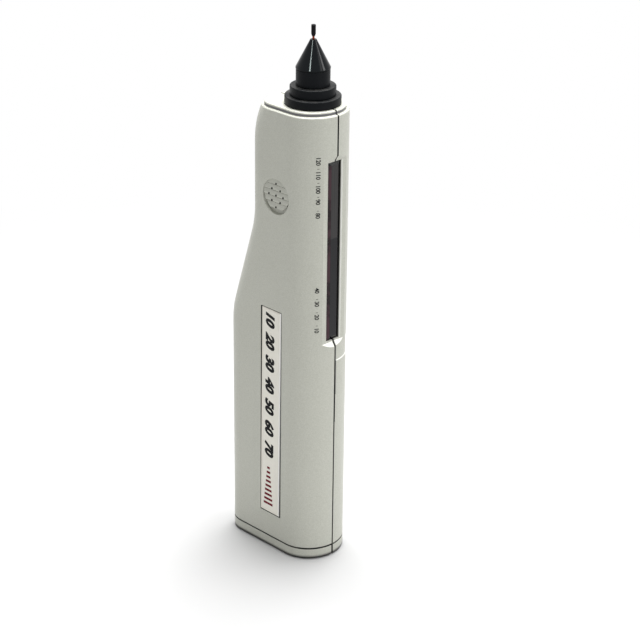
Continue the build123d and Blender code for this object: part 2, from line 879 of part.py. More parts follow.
# Power button, held behind the wall by its flange
with BuildPart() as power_button:
    add(side_rod(flange_high, button_face, button_y, button_z, button_radius))
    fillet(power_button.edges().group_by(Axis.X)[-1], button_round)
    with BuildSketch(Plane.XZ.offset(-button_y)):
        with Locations((button_face + button_dish_radius - button_dish_depth, button_z)):
            Circle(button_dish_radius)
            Rectangle(body_depth + body_depth, body_depth + body_depth,
                      align=(Align.CENTER, Align.MAX), mode=Mode.SUBTRACT)
    revolve(axis=Axis((0, button_y, button_z), (1, 0, 0)), mode=Mode.SUBTRACT)
    add(side_rod(flange_high - button_flange_thickness, flange_high, button_y, button_z,
                 button_flange_radius))
    add(side_rod(plunger_high, flange_high - button_flange_thickness, button_y, button_z,
                 button_stem_radius))
save(power_button, "power_button")

stud_low = inner_face - contact_stud_reach

# Metal finger contact, flush with the right side, with its stud through the wall
with BuildPart() as touch_contact:
    with BuildSketch(Plane.YZ.offset(half_thickness - contact_thickness)):
        with Locations((contact_y, contact_z)):
            SlotOverall(contact_length, contact_width, rotation=90)
    extrude(amount=contact_thickness)
    add(side_rod(stud_low, half_thickness - contact_thickness, contact_y, stud_z, contact_stud_radius))
save(touch_contact, "touch_contact")

# Pin that joins the finger contact to the board
with BuildPart() as contact_pin:
    add(side_rod(board_face, stud_low - contact_pin_tip, contact_y, stud_z, contact_pin_radius))
    add(side_rod(stud_low - contact_pin_tip, stud_low, contact_y, stud_z, contact_pin_tip_radius))
save(contact_pin, "contact_pin")

battery_top = wall + battery_height
terminal_top = battery_top + terminal_height

# Nine volt battery, standing on the floor of the housing
with BuildPart() as battery:
    with BuildSketch(Plane.XY.offset(wall)):
        with Locations((0, battery_y)):
            RectangleRounded(battery_thickness, battery_width, battery_corner)
    extrude(amount=battery_height)
save(battery, "battery")

# Small and large snap terminals of the battery
with BuildPart() as battery_terminals:
    with BuildSketch(Plane.XY.offset(battery_top)):
        with Locations((0, battery_y - terminal_spacing / 2)):
            Circle(terminal_small_radius)
        with Locations((0, battery_y + terminal_spacing / 2)):
            RegularPolygon(terminal_large_radius, 6)
    extrude(amount=terminal_height)
    with BuildSketch(Plane.XY.offset(terminal_top)):
        with Locations((0, battery_y - terminal_spacing / 2), (0, battery_y + terminal_spacing / 2)):
            Circle(terminal_bore_radius)
    extrude(amount=-terminal_wall_depth, mode=Mode.SUBTRACT)
save(battery_terminals, "battery_terminals")

snap_low = battery_top + snap_lift
snap_high = snap_low + snap_height

# Snap plate that clips on to the terminals
with BuildPart() as battery_snap:
    with BuildSketch(Plane.XY.offset(snap_low)):
        with Locations((0, battery_y)):
            RectangleRounded(snap_width, snap_length, snap_corner)
    extrude(amount=snap_height)
    with BuildSketch(Plane.XY.offset(snap_low)):
        with Locations((0, battery_y - terminal_spacing / 2), (0, battery_y + terminal_spacing / 2)):
            Circle(terminal_large_radius + snap_gap)
    extrude(amount=terminal_top - snap_low, mode=Mode.SUBTRACT)
save(battery_snap, "battery_snap")

# Foam pad that keeps the battery from rattling
with BuildPart() as battery_pad:
    with BuildSketch(Plane.YZ.offset(-inner_face)):
        with Locations((battery_y, foam_z)):
            Rectangle(foam_width, foam_height)
    extrude(amount=foam_thickness)
save(battery_pad, "battery_pad")

# Screws that hold the two halves together
with BuildPart() as housing_screws:
    head_low = half_thickness - screw_sink
    head_high = head_low + screw_head_height
    for place_y, place_z in screw_places:
        add(side_rod(screw_pilot_gap - half_gap - screw_reach, head_low, place_y, place_z, screw_radius))
        add(side_rod(head_low, head_high, place_y, place_z, screw_head_radius))
        with BuildSketch(Plane.YZ.offset(head_high)):
            with Locations((place_y, place_z)):
                Rectangle(screw_cross_width, screw_cross_length)
                Rectangle(screw_cross_length, screw_cross_width)
        extrude(amount=-screw_cross_depth, mode=Mode.SUBTRACT)
save(housing_screws, "housing_screws")


def turned(*outline):
    """A piece turned about the probe's axis from half of its outline."""
    with BuildPart() as piece:
        with BuildSketch(Plane.XZ.offset(-probe_y)):
            with BuildLine():
                Polyline(*outline, close=True)
            make_face()
        revolve(axis=probe_axis)
    return piece.part


def round_edges(piece, radius):
    """The circular edges of a turned piece that have one radius."""
    circles = piece.edges().filter_by(GeomType.CIRCLE)
    return circles.filter_by(lambda edge: abs(edge.radius - radius) < lens_clearance)


ring_bore = neck_radius + ring_bore_gap

# Wide ring at the foot of the probe
with BuildPart() as probe_flange:
    add(turned((ring_bore, plateau_level), (flange_radius, plateau_level), (flange_radius, flange_top),
               (ring_bore, flange_top)))
    fillet(round_edges(probe_flange, flange_radius), ring_edge)
save(probe_flange, "probe_flange")

# Narrower ring above it
with BuildPart() as probe_collar:
    add(turned((ring_bore, flange_top), (collar_radius, flange_top), (collar_radius, collar_top),
               (ring_bore, collar_top)))
    fillet(round_edges(probe_collar, collar_radius), ring_edge)
save(probe_collar, "probe_collar")

spigot_low = shank_top - cone_spigot_length
spigot_bore = cone_spigot_radius + cone_spigot_gap
guide_low = barrel_low + barrel_floor
guide_high = guide_low + guide_height

# Barrel of the probe: the shank that shows and the neck that goes down through the housing
with BuildPart() as probe_shank:
    add(turned(
        (barrel_floor_bore, barrel_low), (neck_radius, barrel_low), (neck_radius, collar_top),
        (shank_radius, collar_top), (shank_radius, shank_top), (spigot_bore, shank_top),
        (spigot_bore, spigot_low), (barrel_bore, spigot_low), (barrel_bore, guide_low),
        (barrel_floor_bore, guide_low),
    ))
    chamfer(round_edges(probe_shank, shank_radius), shank_edge)
save(probe_shank, "probe_shank")

shoulder = shank_top - cone_web

# Nose cone, screwed into the shank
with BuildPart() as nose_cone:
    add(turned(
        (barrel_bore, spigot_low), (cone_spigot_radius, spigot_low), (cone_spigot_radius, shank_top),
        (cone_base_radius, shank_top), (cone_base_radius, shank_top + cone_lip),
        (cone_top_radius, cone_top), (cone_bore, cone_top), (cone_bore, shoulder),
        (barrel_bore, shoulder),
    ))
save(nose_cone, "nose_cone")

# Nut that holds the probe from inside
with BuildPart() as probe_nut:
    with BuildSketch(Plane.XY.offset(ceiling - nut_height)):
        with Locations((0, probe_y)):
            RegularPolygon(nut_flats / 2, 6, major_radius=False)
            Circle(neck_radius + nut_gap, mode=Mode.SUBTRACT)
    extrude(amount=nut_height)
save(probe_nut, "probe_nut")

guard_low = cone_top + guard_gap_to_cone
guard_top = guard_low + guard_length
pin_top = guard_top - pin_top_gap
pin_low = barrel_low - pin_below
pin_collar_low = shoulder - pin_collar_height

# Copper pin with the collar that its spring pushes up
with BuildPart() as probe_pin:
    add(turned(
        (0, pin_low), (pin_rod_radius, pin_low), (pin_rod_radius, pin_collar_low),
        (pin_collar_radius, pin_collar_low), (pin_collar_radius, shoulder), (pin_rod_radius, shoulder),
        (pin_rod_radius, pin_top - pin_tip_length), (pin_tip_radius, pin_top - pin_tip_length),
        (pin_tip_radius, pin_top), (0, pin_top),
    ))
save(probe_pin, "probe_pin")

guard_bore = pin_tip_radius + guard_bore_gap

# Guard that slips over the end of the pin
with BuildPart() as tip_guard:
    add(turned(
        (guard_bore, guard_low), (guard_taper_radius, guard_low), (guard_radius, guard_low + guard_taper),
        (guard_radius, guard_top), (0, guard_top), (0, pin_top), (guard_bore, pin_top),
    ))
    fillet(round_edges(tip_guard, guard_radius).sort_by(Axis.Z)[-1], guard_round)
save(tip_guard, "tip_guard")

heater_bore = pin_rod_radius + heater_gap

# Heater sleeve on the pin
with BuildPart() as probe_heater:
    heater_low = pin_collar_low - heater_length
    add(turned((heater_bore, heater_low), (heater_radius, heater_low), (heater_radius, pin_collar_low),
               (heater_bore, pin_collar_low)))
save(probe_heater, "probe_heater")

# Spring of the pin, which lies unseen inside the barrel
with BuildPart() as probe_spring:
    spring_radius = barrel_bore - spring_outer_gap
    add(turned((spring_inner_radius, guide_high), (spring_radius, guide_high),
               (spring_radius, pin_collar_low), (spring_inner_radius, pin_collar_low)))
save(probe_spring, "probe_spring")

# Bush that guides the lower end of the pin
with BuildPart() as pin_guide:
    guide_radius = barrel_bore - guide_gap
    guide_bore = pin_rod_radius + guide_bore_gap
    add(turned((guide_bore, guide_low), (guide_radius, guide_low), (guide_radius, guide_high),
               (guide_bore, guide_high)))
save(pin_guide, "pin_guide")


def lead(start, end):
    """One lead with straight ends and a small bow between them."""
    first = Vector(*start)
    last = Vector(*end)
    way = 1 if last.Z > first.Z else -1
    stub = Vector(0, 0, way * lead_stub)
    middle = first + (last - first) * lead_middle_share + Vector(lead_bow, 0, 0)
    points = [first, first + stub, middle, last - stub, last]
    radii = []
    for before, here, after in zip(points, points[1:], points[2:]):
        turn = (here - before).get_angle(after - here)
        run = min((here - before).length, (after - here).length)
        radii.append(lead_run_share * run / tan(radians(turn) / 2))
    with BuildPart() as tube:
        with BuildLine() as path:
            FilletPolyline(*points, radius=radii)
        with BuildSketch(Plane(origin=first, z_dir=stub)):
            Circle(lead_radius)
        sweep(path=path.line)
    return tube.part


lead_x = board_face + socket_stand / 2

# Pair of leads from the snap plate to the board
with BuildPart() as battery_leads:
    for side in (-1, 1):
        place_y = battery_socket_y + side * lead_spread / 2
        add(lead((-lead_x, place_y, snap_high), (lead_x, place_y, board_low)))
save(battery_leads, "battery_leads")

# Pair of leads from the board to the barrel of the probe
with BuildPart() as probe_leads:
    wrap = (barrel_floor_bore + neck_radius) / 2
    for side in (-1, 1):
        spread = side * lead_spread / 2
        add(lead((lead_x, probe_socket_y + spread, board_high), (wrap, probe_y + spread / 2, barrel_low)))
save(probe_leads, "probe_leads")
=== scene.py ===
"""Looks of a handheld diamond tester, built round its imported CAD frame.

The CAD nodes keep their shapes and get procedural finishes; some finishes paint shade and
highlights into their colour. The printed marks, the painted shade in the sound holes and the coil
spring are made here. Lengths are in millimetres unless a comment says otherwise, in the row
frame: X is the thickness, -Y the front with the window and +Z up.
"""

import json
import logging
import math
from dataclasses import dataclass
from enum import Enum
from typing import Callable, Optional, Sequence

import bmesh
import bpy
from mathutils import Matrix, Vector

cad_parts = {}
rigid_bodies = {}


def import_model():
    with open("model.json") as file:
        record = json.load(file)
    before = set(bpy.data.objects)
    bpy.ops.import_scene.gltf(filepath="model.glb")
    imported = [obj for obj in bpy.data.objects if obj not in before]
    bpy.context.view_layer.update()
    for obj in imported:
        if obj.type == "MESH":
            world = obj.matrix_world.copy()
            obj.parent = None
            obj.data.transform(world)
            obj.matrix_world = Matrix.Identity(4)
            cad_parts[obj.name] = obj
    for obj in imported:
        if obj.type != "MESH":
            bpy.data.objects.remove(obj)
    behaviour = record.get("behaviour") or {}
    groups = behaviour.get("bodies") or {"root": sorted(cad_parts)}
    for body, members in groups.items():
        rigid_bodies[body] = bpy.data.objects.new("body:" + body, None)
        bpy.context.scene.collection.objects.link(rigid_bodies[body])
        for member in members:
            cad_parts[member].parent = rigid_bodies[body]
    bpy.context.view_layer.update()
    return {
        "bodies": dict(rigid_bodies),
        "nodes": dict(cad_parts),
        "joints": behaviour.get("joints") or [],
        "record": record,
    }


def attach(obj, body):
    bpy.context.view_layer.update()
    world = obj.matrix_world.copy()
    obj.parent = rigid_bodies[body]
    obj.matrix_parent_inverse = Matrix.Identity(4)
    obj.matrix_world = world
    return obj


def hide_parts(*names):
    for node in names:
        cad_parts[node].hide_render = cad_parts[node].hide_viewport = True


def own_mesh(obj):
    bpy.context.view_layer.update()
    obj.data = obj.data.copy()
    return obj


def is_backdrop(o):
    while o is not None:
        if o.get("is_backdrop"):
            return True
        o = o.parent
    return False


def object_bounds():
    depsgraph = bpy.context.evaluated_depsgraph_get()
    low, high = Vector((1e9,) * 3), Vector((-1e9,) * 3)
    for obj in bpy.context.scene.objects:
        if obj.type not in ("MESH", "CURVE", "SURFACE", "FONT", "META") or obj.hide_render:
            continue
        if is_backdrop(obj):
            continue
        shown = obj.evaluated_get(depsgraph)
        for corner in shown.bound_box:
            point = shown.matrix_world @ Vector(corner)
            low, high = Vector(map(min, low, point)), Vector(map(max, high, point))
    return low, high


LOG = logging.getLogger("tester")
MM = 0.001
Color = Point = tuple[float, float, float]
Limits = tuple[float, float]
Tree = bpy.types.NodeTree
Socket = bpy.types.NodeSocket
Sockets = dict[str, Socket]
Mesh = bpy.types.Mesh
Material = bpy.types.Material


class Letter(Enum):
    """How a numeral is cut."""

    UPRIGHT = 0.0
    SLANTED = 0.28


def linear(red: int, green: int, blue: int) -> Color:
    """Turns a screen colour of 0 to 255 a channel into linear light."""
    scaled = (value / 255 for value in (red, green, blue))
    return tuple(v / 12.92 if v <= 0.04045 else ((v + 0.055) / 1.055) ** 2.4 for v in scaled)


def mixed(first: Color, second: Color, share: float) -> Color:
    """Returns the colour that lies a share of the way from first to second."""
    return tuple(a + (b - a) * share for a, b in zip(first, second))


def rgba(color: Color) -> tuple[float, float, float, float]:
    """Returns a colour with full alpha."""
    return (*color, 1.0)


def linked(name: str, data: bpy.types.ID) -> bpy.types.Object:
    """Returns a new object of the data, linked to the scene.

    Args:
        name: The object's name.
        data: What the object shows.

    Returns:
        The new object.
    """
    made = bpy.data.objects.new(name, data)
    bpy.context.scene.collection.objects.link(made)
    return made


def evaluated(carrier: bpy.types.Object) -> Mesh:
    """Returns what an object evaluates to as a plain mesh.

    Args:
        carrier: An object that is linked to the scene.

    Returns:
        A plain mesh.
    """
    bpy.context.view_layer.update()
    graph = bpy.context.evaluated_depsgraph_get()
    return bpy.data.meshes.new_from_object(carrier.evaluated_get(graph))


class NodeSheet:
    """One node tree while it is being wired."""

    def __init__(self, tree: Tree) -> None:
        """Keeps the tree that nodes are added to."""
        self.tree = tree

    def put(self, kind: str, inputs: Optional[dict] = None, **settings: object) -> bpy.types.Node:
        """Adds a node.

        Args:
            kind: Blender's name of the node type.
            inputs: Socket name or number to a value, or to the output that feeds it.
            **settings: Properties of the node itself.

        Returns:
            The new node.
        """
        node = self.tree.nodes.new(kind)
        for name, value in settings.items():
            setattr(node, name, value)
        self.feed(node, inputs or {})
        return node

    def feed(self, node: bpy.types.Node, inputs: dict) -> None:
        """Gives inputs of a node, by name or number, a value or the output that feeds them.

        Args:
            node: The node.
            inputs: Socket name or number to a value, or to an output.
        """
        for key, value in inputs.items():
            if isinstance(value, Socket):
                self.tree.links.new(value, node.inputs[key])
            else:
                node.inputs[key].default_value = value

    def math(self, operation: str, *values: object, clamp: bool = False) -> Socket:
        """Returns the output of a Math node on up to three values or sockets."""
        inputs = dict(enumerate(values))
        return self.put("ShaderNodeMath", inputs, operation=operation, use_clamp=clamp).outputs[0]

    def times(self, first: object, second: object, clamp: bool = False) -> Socket:
        """Returns the product of two values."""
        return self.math("MULTIPLY", first, second, clamp=clamp)

    def flip(self, value: Socket) -> Socket:
        """Returns one less the value."""
        return self.math("SUBTRACT", 1.0, value)

    def ramp(self, factor: Socket, low: float, high: float) -> Socket:
        """Returns a smooth 0 to 1 step of a value between two limits.

        Args:
            factor: The value, or the share of the second colour.
            low: The value up to which it is 0.
            high: The value from which it is 1.

        Returns:
            The step's output.
        """
        inputs = {"Value": factor, "From Min": low, "From Max": high}
        made = self.put("ShaderNodeMapRange", inputs, interpolation_type="SMOOTHSTEP")
        return made.outputs["Result"]

    def step(self, axis: Socket, low: float, high: float) -> Socket:
        """Returns a smooth 0 to 1 step of a coordinate between two places in millimetres."""
        return self.ramp(axis, low * MM, high * MM)

    def around(self, axis: Socket, level: float, soft: float) -> Socket:
        """Returns a smooth 0 to 1 step of a coordinate round a level in millimetres."""
        return self.step(axis, level - soft, level + soft)

    def blend(self, factor: object, first: object, second: object, mode: str = "MIX") -> Socket:
        """Returns the mix of two colours, each a colour or a socket.

        Args:
            factor: The value, or the share of the second colour.
            first: The colour at a factor of 0.
            second: The colour at a factor of 1.
            mode: Blender's name of the way they are mixed.

        Returns:
            The mixed colour.
        """
        pair = (value if isinstance(value, Socket) else rgba(value) for value in (first, second))
        inputs = dict(zip((0, 6, 7), (factor, *pair)))
        return self.put("ShaderNodeMix", inputs, data_type="RGBA", blend_type=mode).outputs[2]

    def place(self) -> Socket:
        """Returns the Object coordinates."""
        return self.put("ShaderNodeTexCoord").outputs["Object"]

    def axes(self) -> Sequence[Socket]:
        """Returns the three Object coordinates one by one."""
        return self.put("ShaderNodeSeparateXYZ", {0: self.place()}).outputs[:3]

    def normal(self) -> Socket:
        """Returns the surface's normal."""
        return self.put("ShaderNodeNewGeometry").outputs["Normal"]

    def upward(self) -> Socket:
        """Returns how far the surface looks up, 1 for level faces."""
        return self.put("ShaderNodeSeparateXYZ", {0: self.normal()}).outputs["Z"]

    def noise(self, scale: object, detail: float = 2.0, roughness: float = 0.5,
              vector: Optional[Socket] = None) -> Socket:
        """Returns the value of a noise texture, in Object coordinates unless others are given.

        Args:
            scale: The texture's scale.
            detail: Its detail.
            roughness: Its roughness.
            vector: Coordinates in place of the Object coordinates.

        Returns:
            The texture's value.
        """
        inputs = {"Vector": vector or self.place(), "Scale": scale, "Detail": detail,
                  "Roughness": roughness}
        return self.put("ShaderNodeTexNoise", inputs).outputs["Fac"]

    def group(self, tree: Tree, **inputs: float) -> Sockets:
        """Places a node group and returns its outputs."""
        return self.put("ShaderNodeGroup", inputs, node_tree=tree).outputs


def value_group(name: str, wire: Callable, **inputs: float) -> Tree:
    """Builds a shader node group whose sockets are all plain values.

    Args:
        name: The group's name.
        wire: Wires the group, given its sheet and inputs, and returns its outputs by name.
        **inputs: Each input's default.

    Returns:
        The group.
    """
    tree = bpy.data.node_groups.new(name, "ShaderNodeTree")
    for label, default in inputs.items():
        socket = tree.interface.new_socket(label, in_out="INPUT", socket_type="NodeSocketFloat")
        socket.default_value = default
    sheet = NodeSheet(tree)
    outputs = wire(sheet, sheet.put("NodeGroupInput").outputs)
    for label in outputs:
        tree.interface.new_socket(label, in_out="OUTPUT", socket_type="NodeSocketFloat")
    sheet.put("NodeGroupOutput", outputs)
    return tree


class Effects:
    """The effects that more than one finish uses, each a node group built once."""

    COARSE_SCALE = 0.37
    COARSE_SHARE = 0.6
    SPECKLE_LIMITS = (0.3, 0.7)
    BLOTCH_LIMITS = (0.32, 0.68)
    WEAR_RADIUS = 0.35
    WEAR_SAMPLES = 6
    WEAR_SCALE = 420.0
    WEAR_BREAKS = (0.42, 0.66)
    WEAR_LIMITS = (0.02, 0.16)
    DUST_FACING = (0.55, 0.98)
    DUST_SCALE = 260.0
    DUST_CLOUDS = (0.3, 0.75)

    def __init__(self) -> None:
        """Builds the groups."""
        self.grain = value_group("surface_grain", self._grain, Fine=2500.0, Broad=60.0)
        self.turned = value_group("turned_rings", self._turned, Rings=9000.0)
        self.wear = value_group("edge_wear", self._wear, Amount=0.5)
        self.dust = value_group("settled_dust", self._dust, Amount=0.3)

    def _grain(self, sheet: NodeSheet, given: Sockets) -> Sockets:
        """Wires fine grain as a height, and its speckle and broad blotches as masks.

        Args:
            sheet: The sheet of the tree that is wired.
            given: The tree's inputs by name.

        Returns:
            The outputs by name.
        """
        fine = sheet.noise(given["Fine"], 3.0, 0.6)
        coarse = sheet.noise(sheet.times(given["Fine"], self.COARSE_SCALE))
        height = sheet.math("ADD", sheet.times(fine, 1 - self.COARSE_SHARE),
                            sheet.times(coarse, self.COARSE_SHARE))
        blotch = sheet.noise(given["Broad"], 3.0, 0.55)
        return {"Height": height, "Speckle": sheet.ramp(fine, *self.SPECKLE_LIMITS),
                "Blotch": sheet.ramp(blotch, *self.BLOTCH_LIMITS)}

    @staticmethod
    def _turned(sheet: NodeSheet, given: Sockets) -> Sockets:
        """Wires the fine rings that a lathe leaves round a piece turned about Z."""
        along = sheet.put("ShaderNodeCombineXYZ", {"Z": sheet.axes()[2]})
        return {"Height": sheet.noise(given["Rings"], 2.0, 0.6, along.outputs[0])}

    def _wear(self, sheet: NodeSheet, given: Sockets) -> Sockets:
        """Wires a mask of worn edges, broken up so that it doesn't run as an even line.

        Args:
            sheet: The sheet of the tree that is wired.
            given: The tree's inputs by name.

        Returns:
            The outputs by name.
        """
        radius = self.WEAR_RADIUS * MM
        soft = sheet.put("ShaderNodeBevel", {"Radius": radius}, samples=self.WEAR_SAMPLES)
        facing = sheet.put("ShaderNodeVectorMath", {0: soft.outputs[0], 1: sheet.normal()},
                           operation="DOT_PRODUCT")
        turn = sheet.flip(facing.outputs["Value"])
        broken = sheet.ramp(sheet.noise(self.WEAR_SCALE, 3.0, 0.6), *self.WEAR_BREAKS)
        mask = sheet.times(sheet.ramp(turn, *self.WEAR_LIMITS), broken)
        return {"Mask": sheet.times(mask, given["Amount"], clamp=True)}

    def _dust(self, sheet: NodeSheet, given: Sockets) -> Sockets:
        """Wires a mask of the thin dust that settles on faces that look up.

        Args:
            sheet: The sheet of the tree that is wired.
            given: The tree's inputs by name.

        Returns:
            The outputs by name.
        """
        cloud = sheet.ramp(sheet.noise(self.DUST_SCALE, 4.0, 0.6), *self.DUST_CLOUDS)
        mask = sheet.times(sheet.ramp(sheet.upward(), *self.DUST_FACING), cloud)
        return {"Mask": sheet.times(mask, given["Amount"], clamp=True)}


DUST_COLOR = (0.62, 0.6, 0.56)
DUST_ROUGHNESS = 0.3
PLAIN_ROUGH_SHARE = 0.92
BLOTCH_ROUGH_SHARE = 0.16
BLACK = (0.0, 0.0, 0.0)
WHITE = (1.0, 1.0, 1.0)


@dataclass(frozen=True)
class Finish:
    """A finish of one of the tester's own materials, with the detail that the real one shows."""

    name: str
    color: Color
    roughness: float = 0.45
    metallic: float = 0.0
    specular: float = 0.5
    coat: float = 0.0
    coat_roughness: float = 0.1
    fine_scale: float = 2500.0
    broad_scale: float = 60.0
    bump: float = 0.1
    bump_depth: float = 0.02
    speckle: float = 0.06
    blotch: float = 0.05
    wear: float = 0.0
    wear_color: Color = (0.6, 0.6, 0.6)
    dust: float = 0.0
    turned: float = 0.0
    rings: float = 9000.0

    def base(self, sheet: NodeSheet) -> object:
        """Returns the plain colour; a special finish gives a socket of its own."""
        return self.color

    def cover(self, sheet: NodeSheet, color: Socket) -> Socket:
        """Returns the colour with what lies over its grain; a plain finish has nothing there."""
        return color

    def mottle(self, sheet: NodeSheet, color: object, grain: Sockets) -> Socket:
        """Darkens a colour, or what a socket gives, in the grain's speckle and blotches.

        Args:
            sheet: The sheet of the tree that is wired.
            color: The colour below it, or the socket that gives it.
            grain: The outputs of the placed grain group.

        Returns:
            The socket of the colour.
        """
        for mask, share in (("Speckle", self.speckle), ("Blotch", self.blotch)):
            darker = sheet.blend(1.0, color, (1 - share,) * 3, "MULTIPLY")
            color = sheet.blend(grain[mask], color, darker)
        return color

    def build(self, effects: Effects) -> Material:
        """Builds the material.

        Args:
            effects: The shared node groups.

        Returns:
            The finished material.
        """
        material = bpy.data.materials.new(self.name)
        material.use_nodes = True
        sheet = NodeSheet(material.node_tree)
        grain = sheet.group(effects.grain, Fine=self.fine_scale, Broad=self.broad_scale)
        color = self.cover(sheet, self.mottle(sheet, self.base(sheet), grain))
        rough = sheet.math("MULTIPLY_ADD", grain["Blotch"],
                           BLOTCH_ROUGH_SHARE * self.roughness, PLAIN_ROUGH_SHARE * self.roughness)
        if self.wear:
            worn = sheet.group(effects.wear, Amount=self.wear)["Mask"]
            color = sheet.blend(worn, color, self.wear_color)
        if self.dust:
            settled = sheet.group(effects.dust, Amount=self.dust)["Mask"]
            color = sheet.blend(settled, color, DUST_COLOR)
            rough = sheet.math("MULTIPLY_ADD", settled, DUST_ROUGHNESS, self.roughness)
        height = grain["Height"]
        if self.turned:
            rings = sheet.group(effects.turned, Rings=self.rings)["Height"]
            height = sheet.math("MULTIPLY_ADD", rings, self.turned, height)
        relief = sheet.put("ShaderNodeBump", {"Strength": self.bump, "Height": height,
                                              "Distance": self.bump_depth * MM})
        sheet.feed(material.node_tree.nodes["Principled BSDF"], {
            "Base Color": color, "Roughness": rough, "Normal": relief.outputs["Normal"],
            "Metallic": self.metallic, "Specular IOR Level": self.specular,
            "Coat Weight": self.coat, "Coat Roughness": self.coat_roughness})
        return material


@dataclass(frozen=True)
class Zone:
    """A part of the housing's surface that lies in shade or catches light, with soft limits.

    The disc is the Y, Z and radius of a round limit. An upward zone is only on faces that look up.
    """

    UPWARD_LIMITS = (0.2, 0.4)
    low: tuple[Optional[float], ...]
    high: tuple[Optional[float], ...]
    share: float
    soft: float = 0.04
    color: Color = (0.012, 0.012, 0.013)
    disc: Optional[tuple[float, float, float]] = None
    upward: bool = False

    def mask(self, sheet: NodeSheet, axes: Sequence[Socket]) -> Socket:
        """Builds the zone's mask.

        Args:
            sheet: The material's sheet.
            axes: The three Object coordinates.

        Returns:
            A value that is the zone's share inside it and 0 outside.
        """
        inside = self.share
        for axis, low, high in zip(axes, self.low, self.high):
            if low is not None:
                inside = sheet.times(inside, sheet.around(axis, low, self.soft))
            if high is not None:
                inside = sheet.times(inside, sheet.flip(sheet.around(axis, high, self.soft)))
        if self.disc:
            *middle, radius = self.disc
            gaps = (sheet.math("SUBTRACT", axis, value * MM)
                    for axis, value in zip(axes[1:], middle))
            squares = [sheet.math("POWER", gap, 2.0) for gap in gaps]
            away = sheet.math("SQRT", sheet.math("ADD", *squares))
            inside = sheet.times(inside, sheet.flip(sheet.around(away, radius, self.soft)))
        if self.upward:
            inside = sheet.times(inside, sheet.ramp(sheet.upward(), *self.UPWARD_LIMITS))
        return inside


LABEL_Y, LABEL_Z, LABEL_TURN = -1.98, 50.5, 0.7
SHELL_GREY = linear(187, 188, 177)
INK = linear(18, 18, 20)
DARK_RED = linear(112, 14, 34)
PALE_PAINT = linear(226, 226, 220)
LIT_EDGE = (0.95, 0.95, 0.9)
# Painted shade in the base groove, right of the seam.
GROOVE_RIGHT_SHADE = Zone((0.3, None, 3.75), (None, None, 4.28), 0.72, 0.05)
FOOT_SHADE = Zone((None, None, None), (None, None, 1.15), 0.96, 0.55)
# Painted shade in the seam gap between the halves, wider where the gap looks deeper.
SEAM_SHADE = (
    Zone((-0.27, None, None), (0.27, None, 155.0), 0.92),
    Zone((-0.27, None, 155.0), (0.27, -8.0, None), 0.92),
    Zone((-0.33, None, 142.0), (0.33, -8.0, 155.0), 0.92),
    Zone((0.2, None, 60.0), (0.6, -8.0, 79.8), 0.85),
    Zone((0.2, None, 50.0), (0.42, -8.0, 60.0), 0.85),
    Zone((-0.36, None, None), (0.36, None, 3.75), 0.94),
)
# Painted highlight along the lower edge of the finger recess.
FINGER_RECESS_HIGHLIGHT = Zone((0.62, None, 72.05), (None, -8.0, 72.4), 0.75, 0.1, (0.95, 0.95, 0.93))
# Painted shade in the base groove, left of the seam.
GROOVE_LEFT_SHADE = (
    Zone((None, -14.0, 3.75), (0.3, None, 4.32), 0.85, 0.05),
    Zone((None, None, 3.75), (0.3, -14.0, 4.39), 0.95),
)
# Painted shade on the low wall at the foot of the top plateau.
PLATEAU_WALL_SHADE = Zone((None, None, 155.4), (None, None, 156.08), 0.92, 0.05, (0.1, 0.097, 0.115))
# Painted shade in the gap of the label pocket round the label.
LABEL_POCKET_SHADE = Zone((-11.3, -7.4, 12.6), (-10.8, 3.15, 88.4), 0.97)
# Painted shade in the recess under the sound grille's slats.
GRILLE_RECESS_SHADE = Zone((-10.75, None, None), (-10.0, None, None), 0.25, 0.05, (0.18, 0.177, 0.15),
                     (-4.32, 127.2, 6.0))
# Painted shade on the window opening's right jamb and a painted highlight on its rounded edge.
WINDOW_EDGE_LIGHT_AND_SHADE = (
    Zone((2.6, -20.5, 79.4), (2.8, -17.9, 140.2), 0.9),
    Zone((2.86, -20.5, 79.4), (3.3, -18.8, 140.2), 0.5, 0.06, LIT_EDGE),
)
# Painted highlights on the upward faces of the flat below the window.
WINDOW_SILL_HIGHLIGHT = (
    Zone((0.45, -20.5, 76.5), (9.0, -18.8, 80.9), 0.6, 0.05, LIT_EDGE, upward=True),
    Zone((-9.0, -20.5, 76.5), (-0.45, -18.8, 80.9), 0.6, 0.05, LIT_EDGE, upward=True),
)
# Every zone of painted shade and painted highlight on the housing's paint.
HOUSING_ZONES = (*SEAM_SHADE, FINGER_RECESS_HIGHLIGHT, *GROOVE_LEFT_SHADE, GROOVE_RIGHT_SHADE, PLATEAU_WALL_SHADE, FOOT_SHADE,
                 LABEL_POCKET_SHADE, GRILLE_RECESS_SHADE, *WINDOW_EDGE_LIGHT_AND_SHADE, *WINDOW_SILL_HIGHLIGHT)


